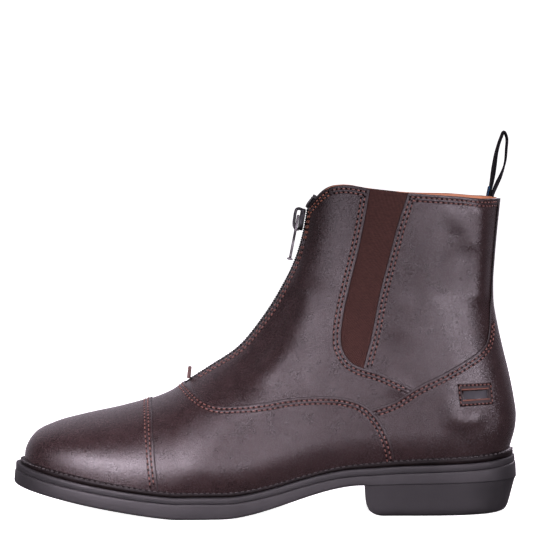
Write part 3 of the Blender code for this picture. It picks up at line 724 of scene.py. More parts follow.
def add_piece(name, points, faces, finish, slot, body="boot", replaces=(), sharp=50.0, seam=None):
    """Mesh object from points in millimetres and four-cornered faces, riding on a body."""
    points = np.asarray(points, float)
    faces = outward(points, np.asarray(faces))
    loops = [tuple(dict.fromkeys(face)) for face in faces.tolist()]
    mesh = bpy.data.meshes.new(name)
    mesh.from_pydata((points * MM).tolist(), [], [loop for loop in loops if len(loop) > 2])
    mesh.shade_smooth()
    mesh.set_sharp_from_angle(angle=math.radians(sharp))
    if seam is not None:
        mesh.attributes.new("seam", "FLOAT", "POINT").data.foreach_set("value", seam.astype(np.float32))
    mesh.materials.append(finish)
    piece = bpy.data.objects.new(name, mesh)
    bpy.context.scene.collection.objects.link(piece)
    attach(piece, body)
    if replaces:
        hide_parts(*replaces)
    return piece


def bridge(lower, upper):
    """Faces between two closed loops of point numbers."""
    return np.column_stack([lower, np.roll(lower, -1), np.roll(upper, -1), upper])


def strip(lower, upper):
    """Faces between two open rows of point numbers."""
    return np.column_stack([lower[:-1], lower[1:], upper[1:], upper[:-1]])


def fan(centre, loop):
    """Triangles from one point to a closed loop of point numbers."""
    middle = np.full(len(loop), centre)
    return np.column_stack([middle, loop, np.roll(loop, -1), np.roll(loop, -1)])


def numbered(rings):
    """Points of rings one after another, and their numbers ring by ring."""
    points = np.vstack(rings)
    return points, np.arange(len(points)).reshape(len(rings), -1)


def sleeve(loops, closed=False):
    """Faces between neighbouring loops of point numbers."""
    faces = [bridge(a, b) for a, b in zip(loops, loops[1:])]
    if closed:
        faces.append(bridge(loops[-1], loops[0]))
    return np.vstack(faces)


def capped(loops):
    """Faces of a solid through loops of point numbers. Middle points of its two ends follow the loops."""
    return np.vstack([sleeve(loops), fan(loops.size, loops[0][::-1]), fan(loops.size + 1, loops[-1])])


def repeated(solids, faces):
    """One set of points and faces from an array of solids of the same build."""
    shift = (np.arange(len(solids)) * solids.shape[1])[:, None, None]
    return solids.reshape(-1, 3), (faces[None] + shift).reshape(-1, 4)


def tubes(centres, sides, ups, radii, corners=6):
    """Closed tubes along many lines at once: arrays of shape lines x points x 3, radii for each point."""
    lines, count, _ = centres.shape
    turn = 2 * math.pi * np.arange(corners) / corners
    cosine, sine = (wave(turn)[None, None, :, None] for wave in (np.cos, np.sin))
    ring = cosine * sides[:, :, None, :] + sine * ups[:, :, None, :]
    points = centres[:, :, None, :] + np.asarray(radii)[None, :, None, None] * ring
    points = np.concatenate([points.reshape(lines, -1, 3), centres[:, [0, -1], :]], axis=1)
    return repeated(points, capped(np.arange(count * corners).reshape(count, corners)))


def joined(solids):
    """One set of points and faces from many."""
    points, faces, first = [], [], 0
    for p, f in solids:
        points.append(p)
        faces.append(np.asarray(f) + first)
        first += len(p)
    return np.vstack(points), np.vstack(faces)


# Materials


class Finish:
    """A material with a Principled shader, and short ways to add nodes to it."""

    def __init__(self, name, colour, roughness, metallic=0.0):
        self.material = bpy.data.materials.new(name)
        self.material.use_nodes = True
        self.tree = self.material.node_tree
        self.shader = self.tree.nodes["Principled BSDF"]
        self.set("Base Color", (*colour, 1.0))
        self.set("Roughness", roughness)
        self.set("Metallic", metallic)
        self.place = self.node("ShaderNodeTexCoord").outputs["Object"]

    def feed(self, socket, value):
        """Link a socket into another, or set it to a value."""
        if isinstance(value, bpy.types.NodeSocket):
            self.tree.links.new(value, socket)
        else:
            socket.default_value = value

    def node(self, kind, inputs=None, **settings):
        made = self.tree.nodes.new(kind)
        for name, value in settings.items():
            setattr(made, name, value)
        for name, value in (inputs or {}).items():
            self.feed(made.inputs[name], value)
        return made

    def set(self, name, value):
        self.feed(self.shader.inputs[name], value)

    def noise(self, scale, detail=2.0, roughness=0.5, place=None):
        inputs = {"Vector": place or self.place, "Scale": scale, "Detail": detail, "Roughness": roughness}
        return self.node("ShaderNodeTexNoise", inputs).outputs["Fac"]

    def stretched(self, scale):
        return self.node("ShaderNodeMapping", {"Vector": self.place, "Scale": scale}).outputs["Vector"]

    def cells(self, scale):
        """Distance from the borders of a pattern of cells."""
        inputs = {"Vector": self.place, "Scale": scale}
        return self.node("ShaderNodeTexVoronoi", inputs, feature="DISTANCE_TO_EDGE").outputs["Distance"]

    def range(self, value, low, high, to_low=0.0, to_high=1.0):
        inputs = {"Value": value, "From Min": low, "From Max": high, "To Min": to_low, "To Max": to_high}
        return self.node("ShaderNodeMapRange", inputs).outputs["Result"]

    def math(self, operation, first, second=0.0):
        made = self.node("ShaderNodeMath", {0: first, 1: second}, operation=operation)
        return made.outputs["Value"]

    def blend(self, factor, first, second):
        """Colour between two others, each a socket or three numbers."""
        colours = [(*value, 1.0) if isinstance(value, tuple) else value for value in (first, second)]
        inputs = {0: factor, 6: colours[0], 7: colours[1]}
        return self.node("ShaderNodeMix", inputs, data_type="RGBA").outputs[2]

    def attribute(self, name):
        return self.node("ShaderNodeAttribute", attribute_name=name).outputs["Fac"]

    def total(self, parts):
        """Sum of (socket, factor) pairs."""
        result = None
        for socket, factor in parts:
            scaled = self.math("MULTIPLY", socket, factor)
            result = scaled if result is None else self.math("ADD", result, scaled)
        return result

    def bump(self, parts):
        """Relief from (socket, height in millimetres) pairs."""
        height = self.total([(socket, factor * MM) for socket, factor in parts])
        self.set("Normal", self.node("ShaderNodeBump", {"Height": height, "Distance": 1.0}).outputs["Normal"])


LEATHER_DARK = (0.0180, 0.0106, 0.0106)
LEATHER = (0.0245, 0.0148, 0.0148)
LEATHER_LIGHT = (0.0370, 0.0235, 0.0230)
# Colour of the dark cut edges and of the painted shade on the face beside them
LEATHER_EDGE_AND_SHADE = (0.007, 0.0030, 0.0028)
LEATHER_PORE = (0.0100, 0.0052, 0.0052)


def leather_finish():
    """Smooth full-grain leather: fine pores, soft wrinkles, stitch grooves, dark cut edges, and painted shade
    on the face beside them.
    """
    f = Finish("leather", LEATHER, 0.42)
    seam = f.attribute("seam")
    clouds = f.range(f.noise(22.0, 3.0), 0.35, 0.68)
    fine = f.range(f.noise(160.0, 3.0), 0.35, 0.7)
    tone = f.blend(clouds, LEATHER_DARK, LEATHER)
    tone = f.blend(f.math("MULTIPLY", fine, 0.5), tone, LEATHER_LIGHT)
    pores = f.range(f.noise(1000.0, 2.0), 0.48, 0.68)
    tone = f.blend(f.math("MULTIPLY", pores, 0.6), tone, LEATHER_PORE)
    # Dark cut edges, with painted shade on the leather's face up to about 0.4 mm in from the edge
    edge = f.range(seam, 0.18, 0.42, 1.0, 0.0)
    f.set("Base Color", f.blend(edge, tone, LEATHER_EDGE_AND_SHADE))
    relief = [
        (f.cells(1500.0), 0.10),
        (f.noise(1250.0, 3.0, 0.6), 0.18),
        (f.noise(1.0, 3.0, 0.55, f.stretched((60.0, 90.0, 60.0))), 0.16),
    ]
    for row in STITCH_ROWS:
        away = f.math("ABSOLUTE", f.math("SUBTRACT", seam, row))
        relief.append((f.range(away, 0.1, 0.9, 1.0, 0.0), -0.16))
    f.bump(relief)
    worn = f.range(f.noise(70.0, 4.0), 0.3, 0.7, 0.20, 0.28)
    f.set("Roughness", f.total([(worn, 1.0), (pores, 0.12), (edge, 0.35)]))
    f.set("Coat Weight", 0.10)
    f.set("Coat Roughness", 0.26)
    return f.material


def plain_leather_finish(name, dark, light, roughness, gloss=0.5):
    """Matt leather without a seam, for linings and small tabs."""
    f = Finish(name, light, roughness)
    f.set("Base Color", f.blend(f.range(f.noise(60.0, 4.0), 0.3, 0.7), dark, light))
    f.set("Roughness", f.range(f.noise(120.0, 2.0), 0.3, 0.7, roughness - 0.06, roughness + 0.06))
    f.bump([(f.cells(1400.0), 0.05), (f.noise(500.0, 4.0), 0.09)])
    f.set("Specular IOR Level", gloss)
    return f.material


RIB_PITCH = 0.95


def elastic_finish():
    """Ribbed elastic: ribs along the gusset, crossed by a fine weave."""
    dark, light = (0.026, 0.0106, 0.0085), (0.058, 0.0245, 0.0190)
    f = Finish("elastic", light, 0.85)
    rib = f.math("SINE", f.math("MULTIPLY", f.attribute("rib"), 2 * math.pi / RIB_PITCH))
    weave = f.noise(1.0, 2.0, 0.5, f.stretched((500.0, 500.0, 1500.0)))
    shade = f.math("ADD", f.range(rib, -1.0, 1.0, 0.1, 0.7), f.range(weave, 0.3, 0.7, -0.25, 0.35))
    f.set("Base Color", f.blend(shade, dark, light))
    f.bump([(rib, 0.09), (weave, 0.12)])
    f.set("Specular IOR Level", 0.2)
    return f.material


def thread_finish(name, dark, light):
    """Twisted sewing thread."""
    f = Finish(name, light, 0.6)
    twist = f.noise(1800.0, 2.0)
    f.set("Base Color", f.blend(f.range(twist, 0.3, 0.7), dark, light))
    f.bump([(twist, 0.12)])
    f.set("Sheen Weight", 0.2)
    return f.material


def rubber_finish():
    """Matt moulded rubber with a fine texture and a few pale scuffs."""
    dark, light, scuffed = (0.018, 0.0175, 0.018), (0.027, 0.026, 0.027), (0.14, 0.13, 0.13)
    f = Finish("rubber", dark, 0.55)
    tone = f.blend(f.range(f.noise(45.0, 4.0), 0.3, 0.7), dark, light)
    scuff = f.range(f.noise(260.0, 3.0, 0.65), 0.71, 0.76)
    scuff = f.math("MULTIPLY", scuff, f.range(f.noise(30.0, 1.0), 0.52, 0.62))
    f.set("Base Color", f.blend(f.math("MULTIPLY", scuff, 0.6), tone, scuffed))
    f.set("Roughness", f.range(f.noise(150.0, 3.0), 0.3, 0.7, 0.42, 0.58))
    f.bump([(f.noise(1300.0, 2.0), 0.05), (f.noise(140.0, 2.0), 0.06)])
    f.set("Specular IOR Level", 0.3)
    return f.material


def hole_shade_finish():
    """Painted shade of a needle hole, also used for the badge's painted shadow: near black, without gloss."""
    f = Finish("needle_hole", (0.003, 0.0012, 0.001), 0.95)
    f.set("Base Color", f.blend(f.noise(1500.0), (0.003, 0.0012, 0.001), (0.006, 0.0025, 0.002)))
    f.set("Specular IOR Level", 0.05)
    return f.material


def woven_finish(name, dark, light, pitch):
    """Narrow woven tape: fine crossed threads."""
    f = Finish(name, light, 0.85)
    waves = []
    for scale in ((1.0, 0.0, 1.0), (0.0, 1.0, 0.3)):
        inputs = {"Vector": f.stretched(scale), "Scale": 0.314 / (pitch * MM)}
        waves.append(f.node("ShaderNodeTexWave", inputs, bands_direction="DIAGONAL").outputs["Fac"])
    cross = f.math("MULTIPLY", *waves)
    f.set("Base Color", f.blend(cross, dark, light))
    f.bump([(cross, 0.12), (f.noise(900.0, 2.0), 0.08)])
    f.set("Specular IOR Level", 0.2)
    return f.material


def moulded_finish(name, dark, light, roughness, metallic=0.0, gloss=0.5):
    """Smooth moulded or coated surface with slight wear."""
    f = Finish(name, dark, roughness, metallic)
    f.set("Base Color", f.blend(f.range(f.noise(180.0, 4.0), 0.45, 0.75), dark, light))
    f.set("Roughness", f.range(f.noise(240.0, 3.0), 0.3, 0.7, roughness - 0.06, roughness + 0.1))
    f.bump([(f.noise(700.0, 2.0), 0.02)])
    f.set("Specular IOR Level", gloss)
    return f.material


LEATHER_FINISH = leather_finish()
LINING_FINISH = plain_leather_finish("lining", (0.30, 0.115, 0.050), (0.43, 0.175, 0.080), 0.62)
INSOLE_FINISH = plain_leather_finish("insole", (0.23, 0.100, 0.048), (0.33, 0.150, 0.075), 0.66)
TAB_FINISH = plain_leather_finish("tab_leather", (0.040, 0.015, 0.011), (0.085, 0.032, 0.022), 0.5)
BADGE_FINISH = plain_leather_finish("badge", (0.009, 0.0045, 0.0045), (0.020, 0.0095, 0.0090), 0.5, 0.3)
ELASTIC_FINISH = elastic_finish()
THREAD_FINISH = thread_finish("thread", (0.105, 0.036, 0.026), (0.215, 0.076, 0.052))
BRIGHT_THREAD_FINISH = thread_finish("bright_thread", (0.15, 0.048, 0.024), (0.30, 0.105, 0.052))
WELT_THREAD_FINISH = thread_finish("welt_thread", (0.006, 0.004, 0.004), (0.022, 0.016, 0.015))
# Near-black painted shade for the needle holes and under the badge's insert
HOLE_SHADE_FINISH = hole_shade_finish()
RIM_FINISH = plain_leather_finish("rim", (0.003, 0.002, 0.002), (0.008, 0.005, 0.005), 0.45, 0.15)
RUBBER_FINISH = rubber_finish()
WEBBING_FINISH = woven_finish("webbing", (0.002, 0.002, 0.003), (0.009, 0.009, 0.012), 0.9)
TAPE_FINISH = woven_finish("zip_tape", (0.004, 0.004, 0.004), (0.016, 0.015, 0.015), 0.6)
TOOTH_FINISH = moulded_finish("zip_teeth", (0.004, 0.004, 0.0045), (0.010, 0.0095, 0.010), 0.5)
SLIDER_FINISH = moulded_finish("coated_metal", (0.020, 0.020, 0.022), (0.07, 0.07, 0.073), 0.32, 0.9)
PULL_FINISH = moulded_finish("worn_metal", (0.10, 0.095, 0.10), (0.22, 0.21, 0.22), 0.34, 0.9)
BLUE_FINISH = woven_finish("blue_tape", (0.012, 0.045, 0.10), (0.03, 0.11, 0.22), 0.7)
PIPING_FINISH = plain_leather_finish("piping", (0.090, 0.032, 0.020), (0.180, 0.066, 0.040), 0.5, 0.3)
INSERT_FINISH = moulded_finish("badge_insert", (0.012, 0.012, 0.015), (0.024, 0.024, 0.029), 0.38, gloss=0.2)

# The sole

SOLE_COUNT = 640
SOLE_COLUMNS = 40
FILLING_COLUMNS = 8
SOLE_SHARP = 40.0
WELT_WIDTH = 15.0
SOLE_HEIGHTS = {"under": sole_underside, "top": outsole_top, "welt": welt_top}

# Sections of outsole and welt: surface, how far in from the outline, and height over the surface
OUTSOLE_EDGE = (
    ("under", 1.3, 0.0), ("under", 0.75, 0.1), ("under", 0.35, 0.35), ("under", 0.1, 0.8),
    ("under", 0.0, 1.5), ("top", 0.35, -1.8), ("top", 0.5, -0.8), ("top", 0.62, -0.4),
    ("top", 0.85, -0.15), ("top", 1.3, 0.0), ("top", WELT_WIDTH + GAP, 0.0), ("welt", WELT_WIDTH + GAP, 0.0),
)
WELT_EDGE = (
    ("top", 1.5, 0.1), ("top", 1.05, 0.2), ("top", 0.9, 0.5), ("welt", 0.95, -1.2), ("welt", 1.05, -0.5),
    ("welt", 1.35, -0.12), ("welt", 1.9, 0.0), ("welt", 4.6, 0.0), ("welt", WELT_WIDTH, 0.0),
    ("top", WELT_WIDTH, 0.1),
)

# Tread: depth, pitch and half width of the grooves, plain border, and where along x they start and end
TREAD_DEPTH = 0.8
TREAD_PITCH = 7.0
TREAD_GROOVE = 1.1
TREAD_MARGIN = 8.0
FOREFOOT_TREAD = (-122.0, -119.0, 6.0, 9.0)
HEEL_TREAD = (BREAST_X + 16.0, BREAST_X + 18.0, 118.0, 120.0)

# Heel: shares of the way down with inset at the back, inset at the sides and setback of the breast, the
# levels of its loops, the points round its back and across its breast, and the breast's bow and slant
HEEL_ROWS = (
    (0.00, 0.5, 0.4, 0.0), (0.33, 2.3, 0.8, 0.4), (0.57, 3.4, 1.1, 0.9), (0.68, 4.0, 1.2, 1.6),
    (0.80, 4.7, 1.4, 2.7), (0.90, 5.6, 1.8, 4.8), (0.96, 6.7, 2.5, 7.0), (1.00, 8.6, 4.0, 9.6),
)
HEEL_GRAPHS = graphs(HEEL_ROWS)
HEEL_DROPS = (
    0.0, 0.015, 0.05, 0.15, 0.3, 0.45, 0.6, 0.7, 0.78, 0.84, 0.89, 0.925, 0.95, 0.97, 0.985, 0.995, 1.0,
)
HEEL_ARC = 161
HEEL_COLUMNS = 26
HEEL_JOINT = 0.3
HEEL_GAP = 0.08
BREAST_BOW = 2.5
BREAST_SLANT = 3.0


def sole_loop(kind, inset, lift):
    """Loop of the sole outline moved in, at a height over one of the sole's surfaces.

    The lower edge is less round over the heel, where only a fine line shows.
    """
    if kind == "under":
        over_heel = smoothstep(BREAST_X - 4.0, BREAST_X + 4.0, outline_ring(0.0, SOLE_COUNT)[:, 0])
        sharper = 1 - (1 - HEEL_JOINT) * over_heel
        inset, lift = inset * sharper[:, None], lift * sharper
    plan = outline_ring(inset, SOLE_COUNT)
    return np.column_stack([plan, SOLE_HEIGHTS[kind](plan[:, 0]) + lift])


def tread(ends):
    """Depth of tread grooves as a function of x and the distance to the sides, with a plain border."""
    start, full, fading, end = ends

    def depth(x, margin):
        wave = np.abs((x / TREAD_PITCH + 0.5) % 1.0 - 0.5) * TREAD_PITCH
        groove = 1 - smoothstep(TREAD_GROOVE * 0.6, TREAD_GROOVE * 1.4, wave)
        inside = smoothstep(TREAD_MARGIN, TREAD_MARGIN + 1.2, margin)
        return TREAD_DEPTH * groove * inside * smoothstep(start, full, x) * (1 - smoothstep(fading, end, x))

    return depth


def round_sides(loop):
    """Start, two sides and end of a loop that runs down one side and back up the other."""
    half = len(loop) // 2
    return loop[0], loop[1:half], loop[:half:-1], loop[half]


def across(points, sides, columns, shape=None, bow=0.0):
    """Points with a grid added across a loop, and the grid's faces.

    Sides are the point numbers of the first row, of the left and right ends of the rows, and of the last
    row. Shape gives how far the grid rises, from x and the distance to the sides. The bow pushes the
    middles of the rows back, less and less towards the last row.
    """
    first, left, right, last = sides
    way = np.linspace(0.0, 1.0, columns + 1)[1:-1]
    span = (points[right] - points[left])[:, None, :]
    inside = points[left][:, None, :] + way[None, :, None] * span
    first_x, last_x = points[np.ravel(first)[0], 0], points[last, 0]
    fade = (last_x - inside[..., 0]) / (last_x - first_x)
    inside[..., 0] += bow * 4 * way * (1 - way) * fade
    if shape:
        margin = np.minimum(way, 1 - way) * np.abs(span[..., 1])
        inside[..., 2] += shape(inside[..., 0], margin)
    numbers = len(points) + np.arange(inside.shape[0] * inside.shape[1]).reshape(inside.shape[:2])
    ends = [np.broadcast_to(row, columns + 1) for row in (first, last)]
    rows = np.vstack([ends[0], np.column_stack([left, numbers, right]), ends[1]])
    faces = np.vstack([strip(a, b) for a, b in zip(rows, rows[1:])])
    return np.vstack([points, inside.reshape(-1, 3)]), faces


def add_rubber(name, node, points, *faces):
    """Piece of the sole."""
    faces = np.vstack(faces)
    add_piece(name, points, faces, RUBBER_FINISH, "sole_rubber", replaces=(node,), sharp=SOLE_SHARP)


def add_outsole():
    """Moulded sole: tread, rounded edge, wall and the raised filling inside the welt."""
    points, loops = numbered([sole_loop(*row) for row in OUTSOLE_EDGE])
    points, under = across(points, round_sides(loops[0]), SOLE_COLUMNS, tread(FOREFOOT_TREAD))
    points, over = across(points, round_sides(loops[-1]), FILLING_COLUMNS)
    add_rubber("outsole_moulded", "outsole", points, sleeve(loops), under, over[:, ::-1])


def add_welt():
    """Welt with a rounded edge."""
    points, loops = numbered([sole_loop(*row) for row in WELT_EDGE])
    add_rubber("welt_moulded", "welt", points, sleeve(loops, closed=True))


def heel_loop(drop):
    """Heel outline at one level: round the back from the outer breast corner, then across the breast."""
    back_inset, side_inset, breast = (graph(drop) for graph in HEEL_GRAPHS)
    side = np.where(np.arange(HEEL_ARC) <= HEEL_ARC // 2, -1.0, 1.0)
    front_x = BREAST_X + breast + np.where(side > 0, BREAST_SLANT, 0.0)
    way = np.sin(math.pi * np.linspace(0.0, 1.0, HEEL_ARC))
    x = front_x + (HEEL_X - back_inset - front_x) * way
    full_x = front_x + (HEEL_X - front_x) * way
    reach = np.where(side < 0, OUTER_REACH(full_x), INNER_REACH(full_x))
    y = side * np.clip(reach - side_inset * np.cos(math.pi / 2 * way**4), 0.0, None)
    step = np.linspace(0.0, 1.0, HEEL_COLUMNS + 1)[1:-1]
    bow_x = x[-1] + step * (x[0] - x[-1]) + BREAST_BOW * 4 * step * (1 - step)
    bow_y = y[-1] + step * (y[0] - y[-1])
    plan = np.column_stack([np.concatenate([x, bow_x]), np.concatenate([y, bow_y])])
    top = sole_underside(np.maximum(plan[:, 0], BREAST_X)) - HEEL_GAP
    return np.column_stack([plan, top * (1 - drop)])


def heel_sides(loop):
    """Breast, two sides and back of a heel outline."""
    half = HEEL_ARC // 2
    breast = np.concatenate([loop[:1], loop[:HEEL_ARC - 1:-1], loop[HEEL_ARC - 1:HEEL_ARC]])
    return breast, loop[1:half], loop[HEEL_ARC - 2:half:-1], loop[half]


def add_heel():
    """Heel block, tapered to a flat foot with rounded edges and a grooved tread."""
    points, loops = numbered([heel_loop(drop) for drop in HEEL_DROPS])
    points, over = across(points, heel_sides(loops[0]), HEEL_COLUMNS, bow=BREAST_BOW)
    points, under = across(points, heel_sides(loops[-1]), HEEL_COLUMNS, tread(HEEL_TREAD), BREAST_BOW)
    add_rubber("heel_moulded", "heel", points, sleeve(loops), over, under[:, ::-1])


# Raised rim of the welt round the upper: shares of the length, half width and half height
RIM_ROWS = (
    (0.0, 1.8, 1.7), (0.1, 1.6, 2.1), (0.2, 1.4, 1.9), (0.3, 1.3, 1.5), (0.45, 1.2, 1.3), (0.65, 1.2, 1.3),
    (0.8, 1.6, 2.0), (1.0, 2.0, 2.4),
)
RIM_GRAPHS = graphs(RIM_ROWS)
RIM_COUNT = 600
RIM_CORNERS = 12
RIM_SEAM_TURN = math.radians(40.0)
RIM_STITCH_PITCH = 3.2
RIM_THREAD_RADIUS = 0.42


def rim_ring(turn):
    """Points along the rim, at one turn round its section from straight out, and the normals there."""
    place, low = -np.arange(RIM_COUNT) / RIM_COUNT, np.zeros(RIM_COUNT)
    out = unit(skin_normal(place, low) * np.array([1.0, 1.0, 0.0]))
    foot = skin(place, low)
    wide, tall = (graph(upper_station(foot[:, 0]))[:, None] for graph in RIM_GRAPHS)
    up = np.array([0.0, 0.0, 1.0])
    centre = np.column_stack([foot[:, :2], welt_top(foot[:, 0])]) + 0.8 * wide * out + 0.9 * tall * up
    points = centre + math.cos(turn) * wide * out + math.sin(turn) * tall * up
    return points, unit(math.cos(turn) * tall * out + math.sin(turn) * wide * up)


def add_welt_rim():
    """Dark rounded rim that closes the joint between upper and welt, with a row of stitches."""
    lines = [rim_ring(2 * math.pi * k / RIM_CORNERS)[0] for k in range(RIM_CORNERS)]
    points, loops = numbered(np.stack(lines, axis=1))
    add_piece("welt_rim", points, sleeve(loops, closed=True), RIM_FINISH, "upper_leather")
    line, normals = (np.vstack([a, a[:1]]) for a in rim_ring(RIM_SEAM_TURN))
    length = arc_length(line)
    at = np.linspace(0.0, length[-1], int(length[-1] / RIM_STITCH_PITCH) + 1)
    points, normals = (along_line(a, length, at) for a in (line, normals))
    stitches = Stitches()
    stitches.add(points, unit(normals), np.ones(len(at), bool), radius=RIM_THREAD_RADIUS, hole=0.0)
    stitches.add_threads("welt_stitches", WELT_THREAD_FINISH)


# The upper

COLLAR_FILL_REACH = 2.5
RIB_TURN = 421.0
LINING_RISE = 1.3
LINING_RISE_REACH = 6.0


def faded(lifts, distance):
    """Height that falls away from a panel's edge."""
    near, far = lifts
    return far + (near - far) * np.exp(-np.clip(distance, 0.0, None) / LIFT_FADE)


def collar_fill(data, lift):
    """Inner height of a panel: it thickens at the collar to meet the lining."""
    near = np.exp(-((data[:, COLUMN["collar"]] / COLLAR_FILL_REACH) ** 2))
    return lift - PANEL_THICKNESS + (LINING_LIFT[0] + 0.1 - lift + PANEL_THICKNESS) * near


def add_panel(name, sheet, edges, lift, replaces=(), fill_collar=False):
    """Leather panel with round cut edges. Lift is its height as a function of the sheet's data."""
    sheet = rounded(sheet, edges)
    data = sheet[0]
    distance = edge_distance(data, edges)
    height = lift(data)
    inner = collar_fill(data, height) if fill_collar else height - PANEL_THICKNESS
    points, faces = thicken(sheet, height - edge_drop(distance), inner)
    # Near the edge and on the edge walls the finish gives the dark cut-edge colour, with painted shade on the
    # face
    seam = np.concatenate([distance, np.zeros(len(distance))])
    add_piece(name, points, faces, LEATHER_FINISH, "upper_leather", replaces=replaces, seam=seam)


def on_side(side):
    return lambda d: side * np.sin(2 * math.pi * d[:, 0])


def past(name, least=0.0):
    """Measure of being inside a panel's edge by a distance."""
    return lambda d: d[:, COLUMN[name]] - least


def short_of(name, most):
    """Measure of reaching no further than a distance under a panel."""
    return lambda d: most - d[:, COLUMN[name]]


def cut_all(sheet, *measures):
    for measure in measures:
        sheet = cut(sheet, measure)
    return sheet


def constant(lift):
    return lambda d: np.full(len(d), lift)


def fading(lifts, name):
    return lambda d: faded(lifts, d[:, COLUMN[name]])


def add_panels(whole):
    """Vamp, toe cap, counter with its back stay, four quarters and the gussets between them."""
    under_vamp, under_counter = short_of("vamp", UNDERLAP), short_of("counter", UNDERLAP)
    vamp = cut_all(whole, past("vamp"), short_of("cap", UNDERLAP))
    add_panel("vamp", vamp, ("vamp",), fading(VAMP_LIFT, "vamp"), ("upper",))
    cap = cut_all(whole, past("cap"))
    add_panel("toe_cap_leather", cap, ("cap",), fading(TOE_CAP_LIFT, "cap"), ("toe_cap",))
    counter = cut_all(whole, past("counter"), under_vamp)
    add_panel("counter_leather", counter, ("counter",), constant(COUNTER_LIFT), ("heel_counter",), True)
    for side, word in ((OUTER, "outer"), (INNER, "inner")):
        half = cut(whole, on_side(side))
        front = cut_all(half, past("quarter"), under_vamp, under_counter, past("zip"))
        front_edges = ("quarter", "zip", "collar")
        add_panel("front_quarter_" + word, front, front_edges, constant(FRONT_QUARTER_LIFT), fill_collar=True)
        back = cut_all(half, past("back"), under_counter, short_of("quarter", UNDERLAP))
        back_edges = ("back", "collar")
        add_panel("back_quarter_" + word, back, back_edges, constant(BACK_QUARTER_LIFT), fill_collar=True)
        gusset = cut_all(half, short_of("quarter", GUSSET_UNDERLAP), short_of("back", GUSSET_UNDERLAP))
        add_gusset("gusset_" + word, gusset)


def add_gusset(node, sheet):
    """Elastic panel with a hem at the collar. Its ribs count millimetres round the leg."""
    data = sheet[0]
    points, faces = thicken(sheet, GUSSET_LIFT, collar_fill(data, np.full(len(data), GUSSET_LIFT)))
    piece = add_piece(node + "_elastic", points, faces, ELASTIC_FINISH, "gusset_elastic", replaces=(node,))
    turn = np.tile(data[:, 0], 2) * RIB_TURN
    piece.data.attributes.new("rib", "FLOAT", "POINT").data.foreach_set("value", turn.astype(np.float32))


def add_lining(sheet):
    """Tan lining inside the upper, open at the gussets, standing a little proud at the back of the collar."""
    sheet = cut(sheet, lambda d: np.maximum(d[:, COLUMN["quarter"]], d[:, COLUMN["back"]]) + LINING_OVERLAP)
    data = sheet[0]
    points, faces = thicken(sheet, *LINING_LIFT)
    share = share_of(data[:, 0])
    rise = LINING_RISE * smoothstep(0.5, 0.85, share) * (1 - 0.7 * smoothstep(0.93, 1.0, share))
    rise = rise * np.exp(-((data[:, COLUMN["collar"]] / LINING_RISE_REACH) ** 2))
    points[:, 2] += np.tile(rise, 2)
    add_piece("lining", points, faces, LINING_FINISH, "insole_leather")


INSOLE_COUNT = 240
INSOLE_COLUMNS = (12, 24)
INSOLE_INSET = 3.6
INSOLE_THICKNESS = 3.5
INSOLE_CUP = 2.2
INSOLE_CUP_WIDTH = 11.0
INSOLE_ROUND = (0.9, 0.5)


def add_insole():
    """Insole with a softly cupped rim."""
    turn, low = -np.arange(INSOLE_COUNT) / INSOLE_COUNT, np.zeros(INSOLE_COUNT)
    plan = skin(turn, low) - INSOLE_INSET * skin_normal(turn, low)
    base = np.column_stack([plan[:, :2], feather(plan[:, 0])])
    middle = base.mean(axis=0)
    inward = unit(np.column_stack([middle[:2] - base[:, :2], low]))
    round_in, round_up = INSOLE_ROUND
    up = np.array([0.0, 0.0, 1.0])
    rim = base + (INSOLE_THICKNESS + INSOLE_CUP - round_up) * up
    points, loops = numbered([base, rim, rim + round_in * inward + round_up * up])
    points, under = across(points, round_sides(loops[0]), INSOLE_COLUMNS[0])
    points, over = across(points, round_sides(loops[2]), INSOLE_COLUMNS[1],
                          lambda x, margin: -INSOLE_CUP * smoothstep(0.0, INSOLE_CUP_WIDTH, margin))
    faces = np.vstack([sleeve(loops), under, over[:, ::-1]])
    add_piece("insole_sheet", points, faces, INSOLE_FINISH, "insole_leather", replaces=("insole",))


# Stitches: shares of the way between two needle holes, with the thread's lift and its share of the radius
STITCH_WAYS = np.array([0.22, 0.31, 0.5, 0.69, 0.78])
STITCH_LIFTS = np.array([-0.14, 0.06, 0.14, 0.06, -0.14])
STITCH_TAPER = np.array([0.7, 1.0, 1.05, 1.0, 0.7])
THREAD_SHARP = 80.0
COVER_MARGIN = 0.9


class Stitches:
    """Threads and needle holes gathered for one joined mesh each."""

    def __init__(self):
        self.threads, self.holes = [], []

    def add_threads(self, name, finish):
        add_piece(name, *joined(self.threads), finish, "upper_leather", sharp=THREAD_SHARP)

    def add_holes(self, name):
        add_piece(name, *joined(self.holes), HOLE_SHADE_FINISH, "upper_leather", sharp=THREAD_SHARP)

    def add(self, points, normals, keep, radius=THREAD_RADIUS, hole=HOLE_RADIUS):
        """A row of stitches through points, left out where keep is false."""
        both = np.flatnonzero(keep[:-1] & keep[1:])
        first, last = points[both], points[both + 1]
        normal = unit(normals[both] + normals[both + 1])
        along = unit(last - first)
        side = np.cross(along, normal)
        lifts = STITCH_LIFTS * radius / THREAD_RADIUS
        centres = first[:, None, :] + STITCH_WAYS[None, :, None] * (last - first)[:, None, :]
        centres = centres + lifts[None, :, None] * normal[:, None, :]
        sides, ups = (np.broadcast_to(a[:, None, :], centres.shape) for a in (side, normal))
        self.threads.append(tubes(centres, sides, ups, radius * STITCH_TAPER))
        if hole:
            self.holes.append(needle_holes(points[keep], normals[keep], hole))


